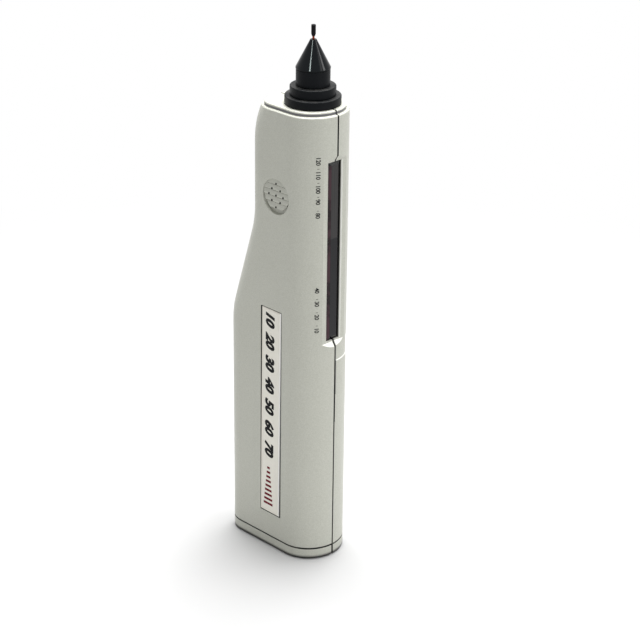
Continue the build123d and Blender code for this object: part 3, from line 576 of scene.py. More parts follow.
@dataclass(frozen=True)
class HousingPaint(Finish):
    """Sprayed silver-grey paint, fine flake, a light orange peel, painted shade and highlights."""

    metallic: float = 0.12
    specular: float = 0.25
    coat: float = 0.15
    coat_roughness: float = 0.26
    fine_scale: float = 3200.0
    wear_color: Color = PALE_PAINT
    flake: float = 0.1
    flake_scale: float = 5200.0
    dark_flake_share: float = 0.6
    pearl: Color = (1.0, 1.0, 0.97)
    grime_top: float = 6.0
    grime_scale: float = 300.0
    grime_limits: Limits = (0.35, 0.8)
    grime_share: float = 0.2
    grime_color: Color = (0.2, 0.19, 0.16)
    zones: Sequence[Zone] = HOUSING_ZONES

    def base(self, sheet: NodeSheet) -> Socket:
        """Adds paint flake and the thin grime low on the housing.

        Args:
            sheet: The sheet of the tree that is wired.

        Returns:
            The socket of the colour.
        """
        inputs = {"Vector": sheet.place(), "Scale": self.flake_scale}
        flake = sheet.put("ShaderNodeTexVoronoi", inputs)
        spread = sheet.put("ShaderNodeSeparateColor", {0: flake.outputs["Color"]})
        light = mixed(self.color, self.pearl, self.flake)
        dark = mixed(self.color, BLACK, self.flake * self.dark_flake_share)
        paint = sheet.blend(spread.outputs[0], dark, light)
        low = sheet.flip(sheet.step(sheet.axes()[2], 0.0, self.grime_top))
        cloud = sheet.ramp(sheet.noise(self.grime_scale, 4.0, 0.6), *self.grime_limits)
        grime = sheet.times(sheet.times(low, cloud), self.grime_share)
        return sheet.blend(grime, paint, self.grime_color)

    def cover(self, sheet: NodeSheet, color: Socket) -> Socket:
        """Paints shade and highlights into the colour at the housing's joints, recesses and edges.

        Args:
            sheet: The sheet of the tree that is wired.
            color: The colour below it, or the socket that gives it.

        Returns:
            The socket of the colour.
        """
        axes = sheet.axes()
        for zone in self.zones:
            color = sheet.blend(zone.mask(sheet, axes), color, zone.color)
        return color


@dataclass(frozen=True)
class DoorPaint(HousingPaint):
    """The housing's paint with a printed arrow that shows which way the door slides."""

    # Painted shade in the base groove and along the foot.
    zones: Sequence[Zone] = (GROOVE_RIGHT_SHADE, FOOT_SHADE)
    print_above: float = 11.32
    middle_y: float = 1.3
    tip_z: float = 30.6
    arrow_length: float = 4.6
    arrow_half: float = 2.6

    def cover(self, sheet: NodeSheet, color: Socket) -> Socket:
        """Prints the arrow, a triangle with its tip down, on the door's outer face.

        Args:
            sheet: The sheet of the tree that is wired.
            color: The colour below it, or the socket that gives it.

        Returns:
            The socket of the colour.
        """
        axes = sheet.axes()
        above = sheet.math("SUBTRACT", axes[2], self.tip_z * MM)
        across = sheet.math("ABSOLUTE", sheet.math("SUBTRACT", axes[1], self.middle_y * MM))
        half = sheet.times(above, self.arrow_half / self.arrow_length)
        within = sheet.math("GREATER_THAN", sheet.math("SUBTRACT", half, across), 0.0)
        below_top = sheet.math("LESS_THAN", above, self.arrow_length * MM)
        outside = sheet.math("GREATER_THAN", axes[0], self.print_above * MM)
        mask = sheet.times(sheet.times(within, below_top), outside)
        return sheet.blend(mask, super().cover(sheet, color), INK)


@dataclass(frozen=True)
class SmokedLens(Finish):
    """Smoked plastic, dark red on its left bevel, with a painted reflection and painted shade."""

    land_half: float = 1.45
    land_high: float = 138.85
    head_soft: float = 0.05
    # Painted reflection on the land's upper part.
    pale_above: float = 114.5
    pale_soft: float = 0.4
    pale_color: Color = (0.03, 0.028, 0.028)
    streak_scale: float = 2600.0
    streak_stretch: float = 0.02
    streak_limits: Limits = (0.4, 0.7)
    streak_share: float = 0.25
    streak_color: Color = (0.001, 0.001, 0.0012)
    left_soft: Limits = (-0.1, 0.02)
    bevel_color: Color = (0.054, 0.022, 0.031)
    patch_scale: float = 160.0
    patch_limits: Limits = (0.42, 0.6)
    patch_dark: float = 0.8
    # Painted shade on the right bevel.
    right_soft: Limits = (-0.02, 0.06)
    right_color: Color = (0.0012, 0.001, 0.0014)

    def base(self, sheet: NodeSheet) -> Socket:
        """Paints a reflection high on the land and shade on the right and head bevels, and reddens
        the left bevel.

        Args:
            sheet: The sheet of the tree that is wired.

        Returns:
            The socket of the colour.
        """
        axes = sheet.axes()
        edge = self.land_half
        # Painted reflection on the land's upper part.
        pale = sheet.around(axes[2], self.pale_above, self.pale_soft)
        color = sheet.blend(pale, self.color, self.pale_color)
        stretched = sheet.times(axes[2], self.streak_stretch)
        streaks = sheet.put("ShaderNodeCombineXYZ", {"X": axes[0], "Y": stretched})
        streak = sheet.noise(self.streak_scale, vector=streaks.outputs[0])
        streak = sheet.ramp(streak, *self.streak_limits)
        color = sheet.blend(sheet.times(streak, self.streak_share), color, self.streak_color)
        left = sheet.flip(sheet.step(axes[0], *(soft - edge for soft in self.left_soft)))
        patches = sheet.ramp(sheet.noise(self.patch_scale), *self.patch_limits)
        dark_red = mixed(self.bevel_color, BLACK, self.patch_dark)
        color = sheet.blend(left, color, sheet.blend(patches, self.bevel_color, dark_red))
        # Painted shade on the right bevel and the head bevel.
        right = sheet.step(axes[0], *(soft + edge for soft in self.right_soft))
        head = sheet.around(axes[2], self.land_high, self.head_soft)
        return sheet.blend(sheet.math("MAXIMUM", right, head), color, self.right_color)


@dataclass(frozen=True)
class BatterySleeve(Finish):
    """Printed battery sleeve with plain bands at its ends."""

    low: float = 2.0
    high: float = 48.4
    band: float = 7.0
    band_color: Color = (0.55, 0.55, 0.56)

    def base(self, sheet: NodeSheet) -> Socket:
        """Puts a pale band at each end of the sleeve.

        Args:
            sheet: The sheet of the tree that is wired.

        Returns:
            The socket of the colour.
        """
        height = sheet.axes()[2]
        top = sheet.math("GREATER_THAN", height, (self.high - self.band) * MM)
        foot = sheet.math("LESS_THAN", height, (self.low + self.band / 2) * MM)
        return sheet.blend(sheet.math("MAXIMUM", top, foot), self.color, self.band_color)


@dataclass(frozen=True)
class TwoTone(Finish):
    """A finish with another colour beyond a level along one axis, counted from X as 0."""

    axis: int = 0
    level: float = 0.0
    other: Color = (0.5, 0.5, 0.5)

    def base(self, sheet: NodeSheet) -> Socket:
        """Chooses the colour by the place along the axis."""
        beyond = sheet.math("GREATER_THAN", sheet.axes()[self.axis], self.level * MM)
        return sheet.blend(beyond, self.color, self.other)


@dataclass(frozen=True)
class BoardLacquer(Finish):
    """Green circuit board lacquer over copper tracks."""

    track_color: Color = (0.08, 0.33, 0.16)
    track_scale: float = 420.0
    track_width: float = 0.03

    def base(self, sheet: NodeSheet) -> Socket:
        """Draws straight tracks under the lacquer.

        Args:
            sheet: The sheet of the tree that is wired.

        Returns:
            The socket of the colour.
        """
        inputs = {"Vector": sheet.place(), "Scale": self.track_scale,
                  "Mortar Size": self.track_width, "Color1": rgba(self.color),
                  "Color2": rgba(self.color), "Mortar": rgba(self.track_color)}
        return sheet.put("ShaderNodeTexBrick", inputs).outputs["Color"]


@dataclass(frozen=True)
class LabelFilm(Finish):
    """Cream printed film, a little yellowed along its edges, with a painted highlight on its front
    edge.
    """

    half_width: float = 4.375
    half_length: float = 37.4
    side_margin: float = 0.9
    end_margin: float = 1.2
    edge_share: float = 0.35
    edge_color: Color = (0.5, 0.42, 0.3)
    lit_width: float = 0.5
    lit_soft: float = 0.1
    lit_share: float = 0.8
    lit_color: Color = (0.97, 0.97, 0.95)

    def base(self, sheet: NodeSheet) -> Socket:
        """Warms the film near its edges and paints a highlight along the edge that faces the front.

        Args:
            sheet: The sheet of the tree that is wired.

        Returns:
            The socket of the colour.
        """
        axes = sheet.axes()
        height = sheet.math("SUBTRACT", axes[2], LABEL_Z * MM)
        lean = sheet.times(height, math.tan(math.radians(LABEL_TURN)))
        side = sheet.math("ADD", sheet.math("SUBTRACT", axes[1], LABEL_Y * MM), lean)
        across, along = (sheet.math("ABSOLUTE", value) for value in (side, height))
        edge = sheet.math(
            "MAXIMUM", sheet.step(across, self.half_width - self.side_margin, self.half_width),
            sheet.step(along, self.half_length - self.end_margin, self.half_length))
        warm = mixed(self.color, self.edge_color, 0.5)
        color = sheet.blend(sheet.times(edge, self.edge_share), self.color, warm)
        # Painted highlight along the label's front edge.
        lit = sheet.flip(sheet.around(side, self.lit_width - self.half_width, self.lit_soft))
        return sheet.blend(sheet.times(lit, self.lit_share), color, self.lit_color)


def finishes() -> dict[str, Finish]:
    """Returns the finish of each material slot of the record."""
    steel = linear(188, 188, 190)
    return {
        "shell": HousingPaint("housing_paint", SHELL_GREY, 0.4, bump=0.14, broad_scale=45.0,
                              speckle=0.02, blotch=0.012, wear=0.1),
        "door": DoorPaint("door_paint", mixed(SHELL_GREY, (0.5, 0.5, 0.46), 0.12), 0.42, bump=0.16,
                          broad_scale=70.0, speckle=0.03, blotch=0.02, wear=0.2),
        "lens": SmokedLens("smoked_lens", (0.0036, 0.0036, 0.0056), 0.14, specular=0.3, bump=0.04,
                           bump_depth=0.01, fine_scale=900.0, speckle=0.03, blotch=0.08),
        "mask": Finish("comb_black", linear(12, 12, 12), 0.8, specular=0.08, speckle=0.1),
        "board": BoardLacquer("board_lacquer", linear(28, 96, 56), 0.3, coat=0.4),
        "lamp": Finish("lamp_milk", linear(222, 216, 200), 0.3, coat=0.3, bump=0.05),
        "label": LabelFilm("label_film", linear(235, 232, 221), 0.36, coat=0.25, coat_roughness=0.2,
                           bump=0.08, bump_depth=0.01, fine_scale=1800.0, broad_scale=120.0,
                           speckle=0.025, blotch=0.03),
        "foam": Finish("dark_foam", linear(58, 58, 62), 0.95, bump=0.9, bump_depth=0.3,
                       fine_scale=1100.0, speckle=0.3, specular=0.2),
        "buzzer": Finish("buzzer_black", linear(30, 30, 32), 0.4, bump=0.15, speckle=0.08),
        "fastener": Finish("zinc_plate", steel, 0.34, metallic=1.0, bump=0.2, fine_scale=4200.0,
                           speckle=0.12, blotch=0.15, wear=0.3, wear_color=linear(220, 220, 222)),
        "chip": Finish("chip_black", linear(34, 34, 36), 0.6, bump=0.25, fine_scale=5200.0,
                       speckle=0.2),
        "capacitor": TwoTone("capacitor_sleeve", linear(190, 190, 192), 0.3, level=-7.6,
                             other=linear(40, 46, 88), metallic=0.2, coat=0.3, bump=0.05),
        "trimmer": TwoTone("trimmer_blue", linear(48, 92, 168), 0.4, level=2.42,
                           other=linear(214, 196, 150)),
        "socket": Finish("socket_white", linear(228, 224, 212), speckle=0.04),
        "switch": Finish("switch_black", linear(36, 36, 38), 0.5, bump=0.15),
        "plunger": Finish("plunger_pale", linear(216, 212, 202)),
        "button": Finish("button_dark", linear(52, 53, 54), 0.38, bump=0.4, bump_depth=0.03,
                         fine_scale=2400.0, speckle=0.1, blotch=0.08, wear=0.35,
                         wear_color=linear(110, 110, 108), dust=0.1),
        "contact": Finish("contact_chrome", linear(172, 172, 175), 0.22, metallic=1.0, bump=0.06,
                          fine_scale=3800.0, broad_scale=90.0, speckle=0.04, blotch=0.12),
        "pin": Finish("pin_brass", linear(226, 196, 120), 0.28, metallic=1.0, turned=0.6),
        "battery": BatterySleeve("battery_sleeve", linear(58, 64, 78), 0.34, metallic=0.3, coat=0.4,
                                 bump=0.06, broad_scale=80.0, blotch=0.08),
        "terminal": Finish("nickel_plate", linear(206, 202, 194), 0.25, metallic=1.0, blotch=0.12),
        "snap": Finish("snap_vinyl", linear(34, 34, 36), 0.5, bump=0.3, fine_scale=1800.0,
                       speckle=0.12),
        "probe": Finish("turned_black", (0.0032, 0.0042, 0.0056), 0.42, specular=0.1, bump=0.22,
                        bump_depth=0.012, turned=1.4, rings=7000.0, fine_scale=5200.0, speckle=0.1,
                        blotch=0.12, wear=0.25, wear_color=linear(70, 72, 78), dust=0.06),
        "cone": Finish("cone_gloss", (0.0016, 0.003, 0.0042), 0.09, specular=0.15, bump=0.04,
                       bump_depth=0.004, turned=1.0, rings=6000.0, speckle=0.04, blotch=0.08,
                       wear=0.1, wear_color=linear(60, 64, 70)),
        "nut": Finish("plain_brass", linear(214, 182, 108), 0.34, metallic=1.0, turned=0.5,
                      blotch=0.12),
        "copper": Finish("dulled_copper", linear(128, 54, 34), 0.38, metallic=1.0, bump=0.2,
                         turned=1.0, speckle=0.1, blotch=0.22),
        "guard": Finish("guard_black", (0.0024, 0.0022, 0.004), 0.34, specular=0.1, turned=0.6),
        "heater": Finish("heater_sleeve", linear(224, 220, 208), 0.6, bump=0.3),
        "spring": Finish("spring_steel", steel, 0.25, metallic=1.0),
        "lead": TwoTone("lead_sleeve", linear(34, 34, 36), axis=1, level=-4.6,
                        other=linear(150, 30, 30), speckle=0.05),
    }


class Wardrobe:
    """Builds each finish once and gives it to the pieces that wear it."""

    def __init__(self, effects: Effects) -> None:
        """Builds the slots' materials and the inks."""
        self.slots = {slot: finish.build(effects) for slot, finish in finishes().items()}
        self.ink, self.red_ink = (
            Finish(name, color, 0.55, specular=0.12, bump=0.05, speckle=0.12).build(effects)
            for name, color in (("ink_black", INK), ("ink_red", DARK_RED)))
        self.grey_ink = Finish("ink_grey", linear(196, 196, 198), 0.5, bump=0.05,
                               speckle=0.1).build(effects)

    def dress_frame(self, frame: dict) -> None:
        """Gives every CAD node of the loaded frame the finish of its slot.
        """
        for entry in frame["record"]["subparts"]:
            node = frame["nodes"][entry["node"]]
            for socket in node.material_slots:
                socket.material = self.slots[entry["material_slot"]]
            LOG.info("%s wears %s", node.name, entry["material_slot"])


def mesh_piece(name: str, mesh: Mesh, material: Material) -> bpy.types.Object:
    """Makes a finished piece that rides on the housing.

    Args:
        name: The piece's name.
        mesh: Its mesh, in metres in the row frame.
        material: What it wears.

    Returns:
        The piece.
    """
    mesh.materials.clear()
    mesh.materials.append(material)
    piece = linked(name, mesh)
    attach(piece, "root")
    LOG.info("%s: %d faces", name, len(mesh.polygons))
    return piece


CAP_SHARE = 0.72


def numeral_mesh(words: str, height: float, slant: Letter, weight: float,
                 spacing: float = 1.0) -> Mesh:
    """Cuts numerals as a flat mesh with its left end at zero and its baseline on X.

    Args:
        words: The numerals.
        height: Height of a numeral, in millimetres.
        slant: How they are cut.
        weight: How much heavier than plain, as a share of the height.
        spacing: Distance between characters, 1 being normal.

    Returns:
        A mesh in millimetres in the XY plane.
    """
    curve = bpy.data.curves.new("numerals", "FONT")
    curve.body = words
    curve.size = height / CAP_SHARE
    curve.shear = slant.value
    curve.offset = weight * height
    curve.space_character = spacing
    curve.resolution_u = 3
    carrier = linked("numerals", curve)
    mesh = evaluated(carrier)
    bpy.data.objects.remove(carrier)
    bpy.data.curves.remove(curve)
    return mesh


class InstanceTree:
    """A Geometry Nodes tree that puts one flat shape on each of several points."""

    NAME = "instances"
    INPUTS = {}

    def __init__(self) -> None:
        """Builds the tree with its named inputs."""
        self.tree = bpy.data.node_groups.new(self.NAME, "GeometryNodeTree")
        face = self.tree.interface
        for label, kind in {"Geometry": "Geometry", **self.INPUTS, "material": "Material"}.items():
            face.new_socket(label, in_out="INPUT", socket_type=f"NodeSocket{kind}")
        face.new_socket("Geometry", in_out="OUTPUT", socket_type="NodeSocketGeometry")
        sheet = NodeSheet(self.tree)
        given = sheet.put("NodeGroupInput").outputs
        spread = sheet.put("GeometryNodeInstanceOnPoints", self.instances(sheet, given))
        real = sheet.put("GeometryNodeRealizeInstances", {0: spread.outputs[0]})
        dressed = sheet.put("GeometryNodeSetMaterial", {"Geometry": real.outputs[0],
                                                        "Material": given["material"]})
        sheet.put("NodeGroupOutput", {0: dressed.outputs[0]})

    def instances(self, sheet: NodeSheet, given: Sockets) -> Sockets:
        """Wires what feeds the instances; each kind of tree has its own."""
        raise NotImplementedError

    def run(self, points: Sequence[Point] = (), **values: object) -> Mesh:
        """Runs the tree once.

        Args:
            points: The points that it starts from.
            **values: The value of each named input.

        Returns:
            A plain mesh.
        """
        start = bpy.data.meshes.new(self.NAME)
        start.from_pydata(points, [], [])
        carrier = linked(self.NAME, start)
        modifier = carrier.modifiers.new("instances", "NODES")
        modifier.node_group = self.tree
        for item in self.tree.interface.items_tree:
            if item.in_out == "INPUT" and item.name in values:
                modifier[item.identifier] = values[item.name]
        mesh = evaluated(carrier)
        carrier.modifiers.remove(modifier)
        bpy.data.objects.remove(carrier)
        return mesh


class MarkTree(InstanceTree):
    """A tree that lays a row of marks along X, each longer than the last by the growth."""

    NAME = "mark_row"
    INPUTS = {"count": "Int", "pitch": "Float", "length": "Float", "growth": "Float",
              "width": "Float"}

    def instances(self, sheet: NodeSheet, given: Sockets) -> Sockets:
        """Puts one mark on each point of a line and scales it by its number.

        Args:
            sheet: The sheet of the tree that is wired.
            given: The tree's inputs by name.

        Returns:
            What feeds the instances, by socket name.
        """
        shift = sheet.put("ShaderNodeCombineXYZ", {"X": given["pitch"]})
        line = sheet.put("GeometryNodeMeshLine", {"Count": given["count"],
                                                  "Offset": shift.outputs[0]}, mode="OFFSET")
        mark = sheet.put("GeometryNodeMeshGrid", {"Size X": given["width"], "Size Y": 1.0,
                                                  "Vertices X": 2, "Vertices Y": 2})
        number = sheet.put("GeometryNodeInputIndex").outputs[0]
        grown = sheet.math("MULTIPLY_ADD", number, given["growth"], given["length"])
        size = sheet.put("ShaderNodeCombineXYZ", {"X": 1.0, "Y": grown, "Z": 1.0})
        return {"Points": line.outputs[0], "Instance": mark.outputs[0], "Scale": size.outputs[0]}


class HoleTree(InstanceTree):
    """A tree that puts one small disc on each point of a mesh."""

    NAME = "hole_shades"
    INPUTS = {"radius": "Float", "rotation": "Rotation"}
    SIDES = 20

    def instances(self, sheet: NodeSheet, given: Sockets) -> Sockets:
        """Turns a disc to its slat and puts it on each given point.

        Args:
            sheet: The sheet of the tree that is wired.
            given: The tree's inputs by name.

        Returns:
            What feeds the instances, by socket name.
        """
        disc = sheet.put("GeometryNodeMeshCircle", {"Vertices": self.SIDES,
                                                    "Radius": given["radius"]}, fill_type="NGON")
        turned = sheet.put("GeometryNodeTransform", {"Geometry": disc.outputs[0],
                                                     "Rotation": given["rotation"]})
        return {"Points": given["Geometry"], "Instance": turned.outputs[0]}


def moved_mesh(mesh: Mesh, along: float, across: float) -> Mesh:
    """Shifts a flat print and returns it."""
    mesh.transform(Matrix.Translation((along, across, 0.0)))
    return mesh


def print_piece(name: str, parts: Sequence[Mesh], place: Callable[[float, float], Point],
                ink: Material, levels: Sequence[float] = ()) -> None:
    """Joins flat prints and lays them on a surface as one piece.

    Args:
        name: The piece's name.
        parts: The prints, X along the line and Y up, in millimetres.
        place: Gives the point of the surface, in millimetres, for each X and Y.
        ink: What they wear.
        levels: Where along Y they are cut across, so that they can follow a curve.
    """
    work = bmesh.new()
    for part in parts:
        work.from_mesh(part)
    for level in levels:
        bmesh.ops.bisect_plane(work, geom=work.verts[:] + work.edges[:] + work.faces[:], dist=1e-5,
                               plane_co=(0.0, level, 0.0), plane_no=(0.0, 1.0, 0.0))
    for vertex in work.verts:
        vertex.co = Vector(place(vertex.co.x, vertex.co.y)) * MM
    mesh = bpy.data.meshes.new(name)
    work.to_mesh(mesh)
    work.free()
    mesh_piece(name, mesh, ink)


@dataclass
class LabelPrint:
    """The print on the long label: plain numerals and rising bars."""

    face_x: float = -11.32
    length: float = 74.8
    lift: float = 0.012
    numeral_height: float = 3.7
    numeral_weight: float = 0.085
    numeral_pitch: float = 7.9
    numeral_start: float = 0.7
    numeral_across: float = -2.35
    numerals: Sequence[int] = range(10, 80, 10)
    bar_start: float = 58.2
    bar_pitch: float = 1.7
    bar_count: int = 9
    bar_across: float = -0.8
    bar_length: float = 1.3
    bar_growth: float = 0.38
    bar_width: float = 0.85

    def on_label(self, along: float, across: float) -> Point:
        """Places a point of the print: along runs down the label, across towards the front.

        Args:
            along: Place along the line, in millimetres.
            across: Place across the line, in millimetres.

        Returns:
            The point in the row frame, in millimetres.
        """
        down = self.length / 2 - along
        angle = math.radians(LABEL_TURN)
        y = -across * math.cos(angle) - down * math.sin(angle)
        z = -across * math.sin(angle) + down * math.cos(angle)
        return (self.face_x - self.lift, LABEL_Y + y, LABEL_Z + z)

    def build(self, marks: MarkTree, wardrobe: Wardrobe) -> None:
        """Makes the numerals and the bars.

        Args:
            marks: The tree that lays rows of marks.
            wardrobe: The finishes.
        """
        cut = []
        for place, value in enumerate(self.numerals):
            mesh = numeral_mesh(str(value), self.numeral_height, Letter.SLANTED,
                                self.numeral_weight)
            start = self.numeral_start + place * self.numeral_pitch
            cut.append(moved_mesh(mesh, start, self.numeral_across))
        print_piece("label_numerals", cut, self.on_label, wardrobe.ink)
        bars = marks.run(count=self.bar_count, pitch=self.bar_pitch, length=self.bar_length,
                         growth=self.bar_growth, width=self.bar_width, material=wardrobe.red_ink)
        moved_mesh(bars, self.bar_start, self.bar_across)
        print_piece("label_bars", [bars], self.on_label, wardrobe.red_ink)


@dataclass
class WindowPrint:
    """The two columns of small numerals beside the window."""

    half_thickness: float = 11.42
    nose_depth: float = 10.66
    nose_centre: float = -9.56
    start_x: float = -7.1
    lift: float = 0.015
    height: float = 1.4
    weight: float = 0.035
    spacing: float = 0.95
    top: float = 142.8
    groups: Sequence[tuple] = ((0.0, range(120, 70, -10)), (43.7, range(40, 0, -10)))
    pitch: float = 4.6
    rule_length: float = 0.7
    rule_width: float = 0.14
    rule_share: float = 0.86
    cuts: int = 6

    def on_nose(self, along: float, across: float) -> Point:
        """Places a point on the rounded front: along runs down, across towards the window.

        Args:
            along: Place along the line, in millimetres.
            across: Place across the line, in millimetres.

        Returns:
            The point in the row frame, in millimetres.
        """
        radius = (self.half_thickness + self.nose_depth) / 2
        angle = math.asin(self.start_x / self.half_thickness) + across / radius
        x = (self.half_thickness + self.lift) * math.sin(angle)
        y = self.nose_centre - (self.nose_depth + self.lift) * math.cos(angle)
        return (x, y, self.top - along)

    def build(self, marks: MarkTree, wardrobe: Wardrobe) -> None:
        """Makes both groups of numerals with a short rule between them.

        Args:
            marks: The tree that lays rows of marks.
            wardrobe: The finishes.
        """
        for number, (start, values) in enumerate(self.groups):
            cut = []
            for place, value in enumerate(values):
                mesh = numeral_mesh(str(value), self.height, Letter.UPRIGHT, self.weight,
                                    self.spacing)
                cut.append(moved_mesh(mesh, start + place * self.pitch, 0.0))
            rules = marks.run(count=len(values) - 1, pitch=self.pitch, length=self.rule_length,
                              growth=0.0, width=self.rule_width, material=wardrobe.ink)
            cut.append(moved_mesh(rules, start + self.pitch * self.rule_share, self.height / 2))
            levels = [self.height * share / self.cuts for share in range(1, self.cuts)]
            print_piece(f"window_numerals_{number}", cut, self.on_nose, wardrobe.ink,
                        levels)


@dataclass
class GrilleHoles:
    """Painted shade in the nine sound holes, a dark disc on the slat at each hole's mouth."""

    middle_y: float = -4.32
    middle_z: float = 127.6
    face_x: float = -11.283
    lean: float = 0.252
    radius: float = 0.35
    pitch: float = 1.95
    column: float = 1.88
    wide_column: float = 3.2
    rows: Sequence[tuple[int, Sequence[int]]] = (
        (-2, (0,)), (-1, (-1, 1)), (0, (-1, 0, 1)), (1, (-1, 1)), (2, (0,)))

    def build(self, wardrobe: Wardrobe) -> None:
        """Makes the nine discs as one piece.

        Args:
            wardrobe: The finishes.
        """
        points = []
        for row, columns in self.rows:
            step = self.column if row else self.wide_column
            z = self.middle_z + row * self.pitch
            points += [Vector((self.face_x, self.middle_y + column * step, z)) * MM
                       for column in columns]
        # The discs wear the LED mask's black as painted shade in the holes.
        shade = wardrobe.slots["mask"]
        mesh = HoleTree().run(points, radius=self.radius * MM, material=shade,
                              rotation=(0.0, self.lean - math.pi / 2, 0.0))
        mesh_piece("grille_hole_shade", mesh, shade)


@dataclass
class CoilSpring:
    """The coil that pushes the pin up, in place of the plain sleeve of the CAD model."""

    axis_y: float = -8.95
    low: float = 149.5
    high: float = 165.1
    travel: float = 0.8
    radius: float = 1.95
    wire: float = 0.3
    turns: float = 8.5
    steps: int = 20
    sides: int = 8

    def ring(self, work: bmesh.types.BMesh, share: float) -> list[bmesh.types.BMVert]:
        """Adds the ring of the wire's corners at a share of its length and returns it.

        Args:
            work: The mesh that is being built.
            share: Share of the wire's length, from 0 to 1.

        Returns:
            The corners in order.
        """
        angle = share * self.turns * math.tau
        out = Vector((math.cos(angle), math.sin(angle), 0.0))
        low, high = self.low + self.wire, self.high - self.wire
        centre = Vector((0.0, self.axis_y, low + (high - low) * share)) + out * self.radius
        corners = []
        for side in range(self.sides):
            turn = side / self.sides * math.tau
            offset = out * math.cos(turn) + Vector((0.0, 0.0, math.sin(turn)))
            corners.append(work.verts.new((centre + offset * self.wire) * MM))
        return corners

    def build(self, wardrobe: Wardrobe) -> None:
        """Sweeps the wire round the helix, with closed ends.

        Args:
            wardrobe: The finishes.
        """
        count = int(self.turns * self.steps)
        work = bmesh.new()
        rings = [self.ring(work, number / count) for number in range(count + 1)]
        for before, after in zip(rings, rings[1:]):
            for side in range(self.sides):
                following = (side + 1) % self.sides
                work.faces.new((before[side], before[following], after[following], after[side]))
        work.faces.new(rings[0])
        work.faces.new(list(reversed(rings[-1])))
        bmesh.ops.recalc_face_normals(work, faces=work.faces[:])
        mesh = bpy.data.meshes.new("probe_coil")
        work.to_mesh(mesh)
        work.free()
        piece = mesh_piece("probe_coil", mesh, wardrobe.slots["spring"])
        for face in mesh.polygons:
            face.use_smooth = True
        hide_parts("probe_spring")
        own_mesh(piece)


@dataclass
class BatteryMarks:
    """Plain marks on the battery's sleeve: its voltage and its poles."""

    face_x: float = 8.75
    middle_y: float = 1.05
    base_z: float = 23.0
    lift: float = 0.02
    volts_height: float = 7.0
    volts_weight: float = 0.03
    volts_place: Limits = (-6.4, -2.0)
    pole_height: float = 4.0
    pole_weight: float = 0.04
    pole_across: float = 19.4
    poles: Sequence[tuple[str, float]] = (("-", -7.2), ("+", 5.0))

    def on_sleeve(self, along: float, across: float) -> Point:
        """Places a point on the side that shows with the door off."""
        return (self.face_x + self.lift, self.middle_y + along, self.base_z + across)

    def build(self, wardrobe: Wardrobe) -> None:
        """Makes the voltage and the two pole signs.

        Args:
            wardrobe: The finishes.
        """
        volts = numeral_mesh("9 V", self.volts_height, Letter.UPRIGHT, self.volts_weight)
        moved_mesh(volts, *self.volts_place)
        print_piece("battery_volts", [volts], self.on_sleeve, wardrobe.grey_ink)
        signs = [moved_mesh(numeral_mesh(sign, self.pole_height, Letter.UPRIGHT, self.pole_weight),
                            along, self.pole_across) for sign, along in self.poles]
        print_piece("battery_poles", signs, self.on_sleeve, wardrobe.ink)


@dataclass(frozen=True)
class Lamp:
    """One soft rectangular lamp, its lengths in metres and its power in watts.

    A lamp with only_gloss shows as a highlight and gives no other light.
    """

    name: str
    place: Point
    aim: Point
    size: Limits
    power: float
    color: Color = WHITE
    only_gloss: bool = False

    def build(self) -> None:
        """Makes the lamp and points it at its aim."""
        data = bpy.data.lights.new(self.name, "AREA")
        data.shape = "RECTANGLE"
        data.size, data.size_y = self.size
        data.energy = self.power
        data.color = self.color
        lamp = linked(self.name, data)
        lamp.visible_diffuse = not self.only_gloss
        lamp.location = self.place
        lamp.rotation_mode = "QUATERNION"
        look = Vector(self.aim) - Vector(self.place)
        lamp.rotation_quaternion = look.to_track_quat("-Z", "Y")


ORIGIN = (0.0, 0.0, 0.0)
PROBE = (0.0, 0.0, 0.17)
LAMPS = (
    Lamp("top_box", (0.1, 0.1, 0.9), ORIGIN, (0.45, 0.45), 10.2),
    Lamp("top_right_box", (0.28, 0.0, 0.9), ORIGIN, (0.6, 0.6), 6.0),
    Lamp("front_box", (0.1, -0.9, 0.4), (0.0, 0.0, 0.09), (0.5, 0.6), 2.5),
    Lamp("left_strip", (-0.67, -0.27, 0.79), PROBE, (0.08, 0.3), 4.2, (0.86, 1.0, 0.97), True),
    Lamp("right_strip", (0.5, -0.67, 0.64), PROBE, (0.2, 0.4), 2.2, only_gloss=True),
)


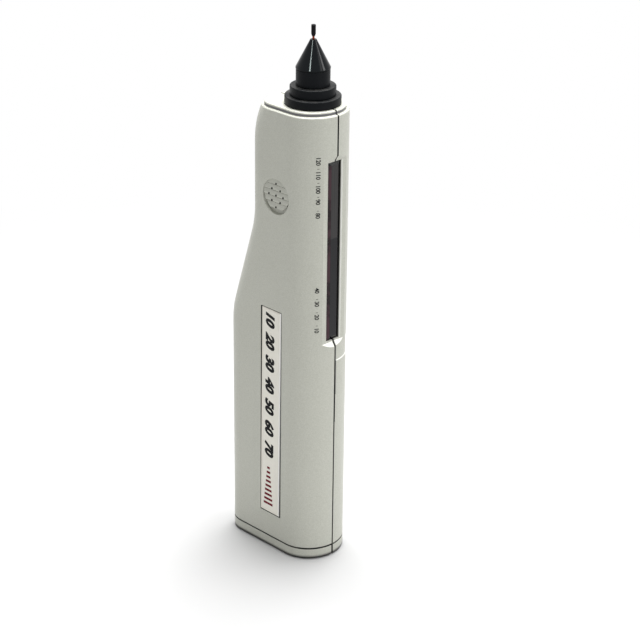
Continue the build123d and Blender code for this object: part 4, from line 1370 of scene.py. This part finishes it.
@dataclass
class Studio:
    """The plain studio: camera at the photograph's angle, pale floor and soft lamps.

    The floor and the reach of the shadow are in metres.
    """

    position: Point = (-409.17, -424.50, 342.46)
    azimuth: float = -44.85
    elevation: float = 23.98
    roll: float = 0.658
    lens: float = 110.58
    floor_half: float = 3.0
    floor_color: float = 0.51
    shadow_reach: Limits = (0.11, 0.34)
    world_strength: float = 0.5

    def camera(self) -> None:
        """Makes the camera at the photograph's viewing angle."""
        turn, rise, roll = (math.radians(v) for v in (self.azimuth, self.elevation, self.roll))
        aim = Matrix.Rotation(turn, 4, "Z") @ Matrix.Rotation(math.pi / 2 - rise, 4, "X")
        place = Matrix.Translation(Vector(self.position) * MM)
        data = bpy.data.cameras.new("view")
        data.sensor_width = 36.0
        data.lens = self.lens
        data.clip_start = 0.01
        data.clip_end = 20.0
        camera = linked("view", data)
        camera.matrix_world = place @ aim @ Matrix.Rotation(roll, 4, "Z")
        bpy.context.scene.camera = camera

    @staticmethod
    def seen(sheet: NodeSheet) -> Socket:
        """Returns 1 for rays that show the background: to the camera, in gloss or through glass.

        Args:
            sheet: The sheet of the tree that is wired.

        Returns:
            The socket of the value.
        """
        path = sheet.put("ShaderNodeLightPath").outputs
        total = path["Is Camera Ray"]
        for kind in ("Is Glossy Ray", "Is Transmission Ray"):
            total = sheet.math("ADD", total, path[kind], clamp=True)
        return total

    def floor(self) -> None:
        """Makes the floor, which shows white away from the tester and keeps its shadow."""
        half = self.floor_half
        mesh = bpy.data.meshes.new("floor")
        mesh.from_pydata([(-half, -half, 0), (half, -half, 0), (half, half, 0), (-half, half, 0)],
                         [], [(0, 1, 2, 3)])
        floor = linked("floor", mesh)
        material = bpy.data.materials.new("floor_white")
        material.use_nodes = True
        nodes = material.node_tree.nodes
        sheet = NodeSheet(material.node_tree)
        nodes.remove(nodes["Principled BSDF"])
        plain = sheet.put("ShaderNodeBsdfDiffuse", {"Color": rgba((self.floor_color,) * 3)})
        white = sheet.put("ShaderNodeEmission", {"Color": rgba(WHITE), "Strength": 1.0})
        away = sheet.put("ShaderNodeVectorMath", {0: sheet.place()}, operation="LENGTH")
        share = sheet.times(self.seen(sheet),
                            sheet.ramp(away.outputs["Value"], *self.shadow_reach))
        both = sheet.put("ShaderNodeMixShader",
                         {0: share, 1: plain.outputs[0], 2: white.outputs[0]})
        sheet.tree.links.new(both.outputs[0], nodes["Material Output"].inputs["Surface"])
        mesh.materials.append(material)
        floor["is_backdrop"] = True

    def world(self) -> None:
        """Makes the surroundings: white where they are seen, softer as a light."""
        world = bpy.data.worlds.new("studio")
        world.use_nodes = True
        bpy.context.scene.world = world
        sheet = NodeSheet(world.node_tree)
        strength = sheet.math("MULTIPLY_ADD", self.seen(sheet), 1.0 - self.world_strength,
                              self.world_strength)
        ground = world.node_tree.nodes["Background"]
        ground.inputs["Color"].default_value = rgba(WHITE)
        world.node_tree.links.new(strength, ground.inputs["Strength"])

    def build(self) -> None:
        """Sets up the whole studio."""
        self.camera()
        self.floor()
        self.world()
        for lamp in LAMPS:
            lamp.build()
        bpy.context.scene.view_settings.view_transform = "Standard"


def corners() -> list[list[float]]:
    """Returns the shown object's lowest and highest corner as plain lists."""
    return [list(corner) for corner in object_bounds()]


def main() -> None:
    """Builds the tester's looks in order and reports each piece."""
    logging.basicConfig(level=logging.INFO, format="%(message)s")
    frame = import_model()
    wardrobe = Wardrobe(Effects())
    wardrobe.dress_frame(frame)
    marks = MarkTree()
    LabelPrint().build(marks, wardrobe)
    WindowPrint().build(marks, wardrobe)
    GrilleHoles().build(wardrobe)
    BatteryMarks().build(wardrobe)
    CoilSpring().build(wardrobe)
    Studio().build()


if __name__ == "__main__":
    main()
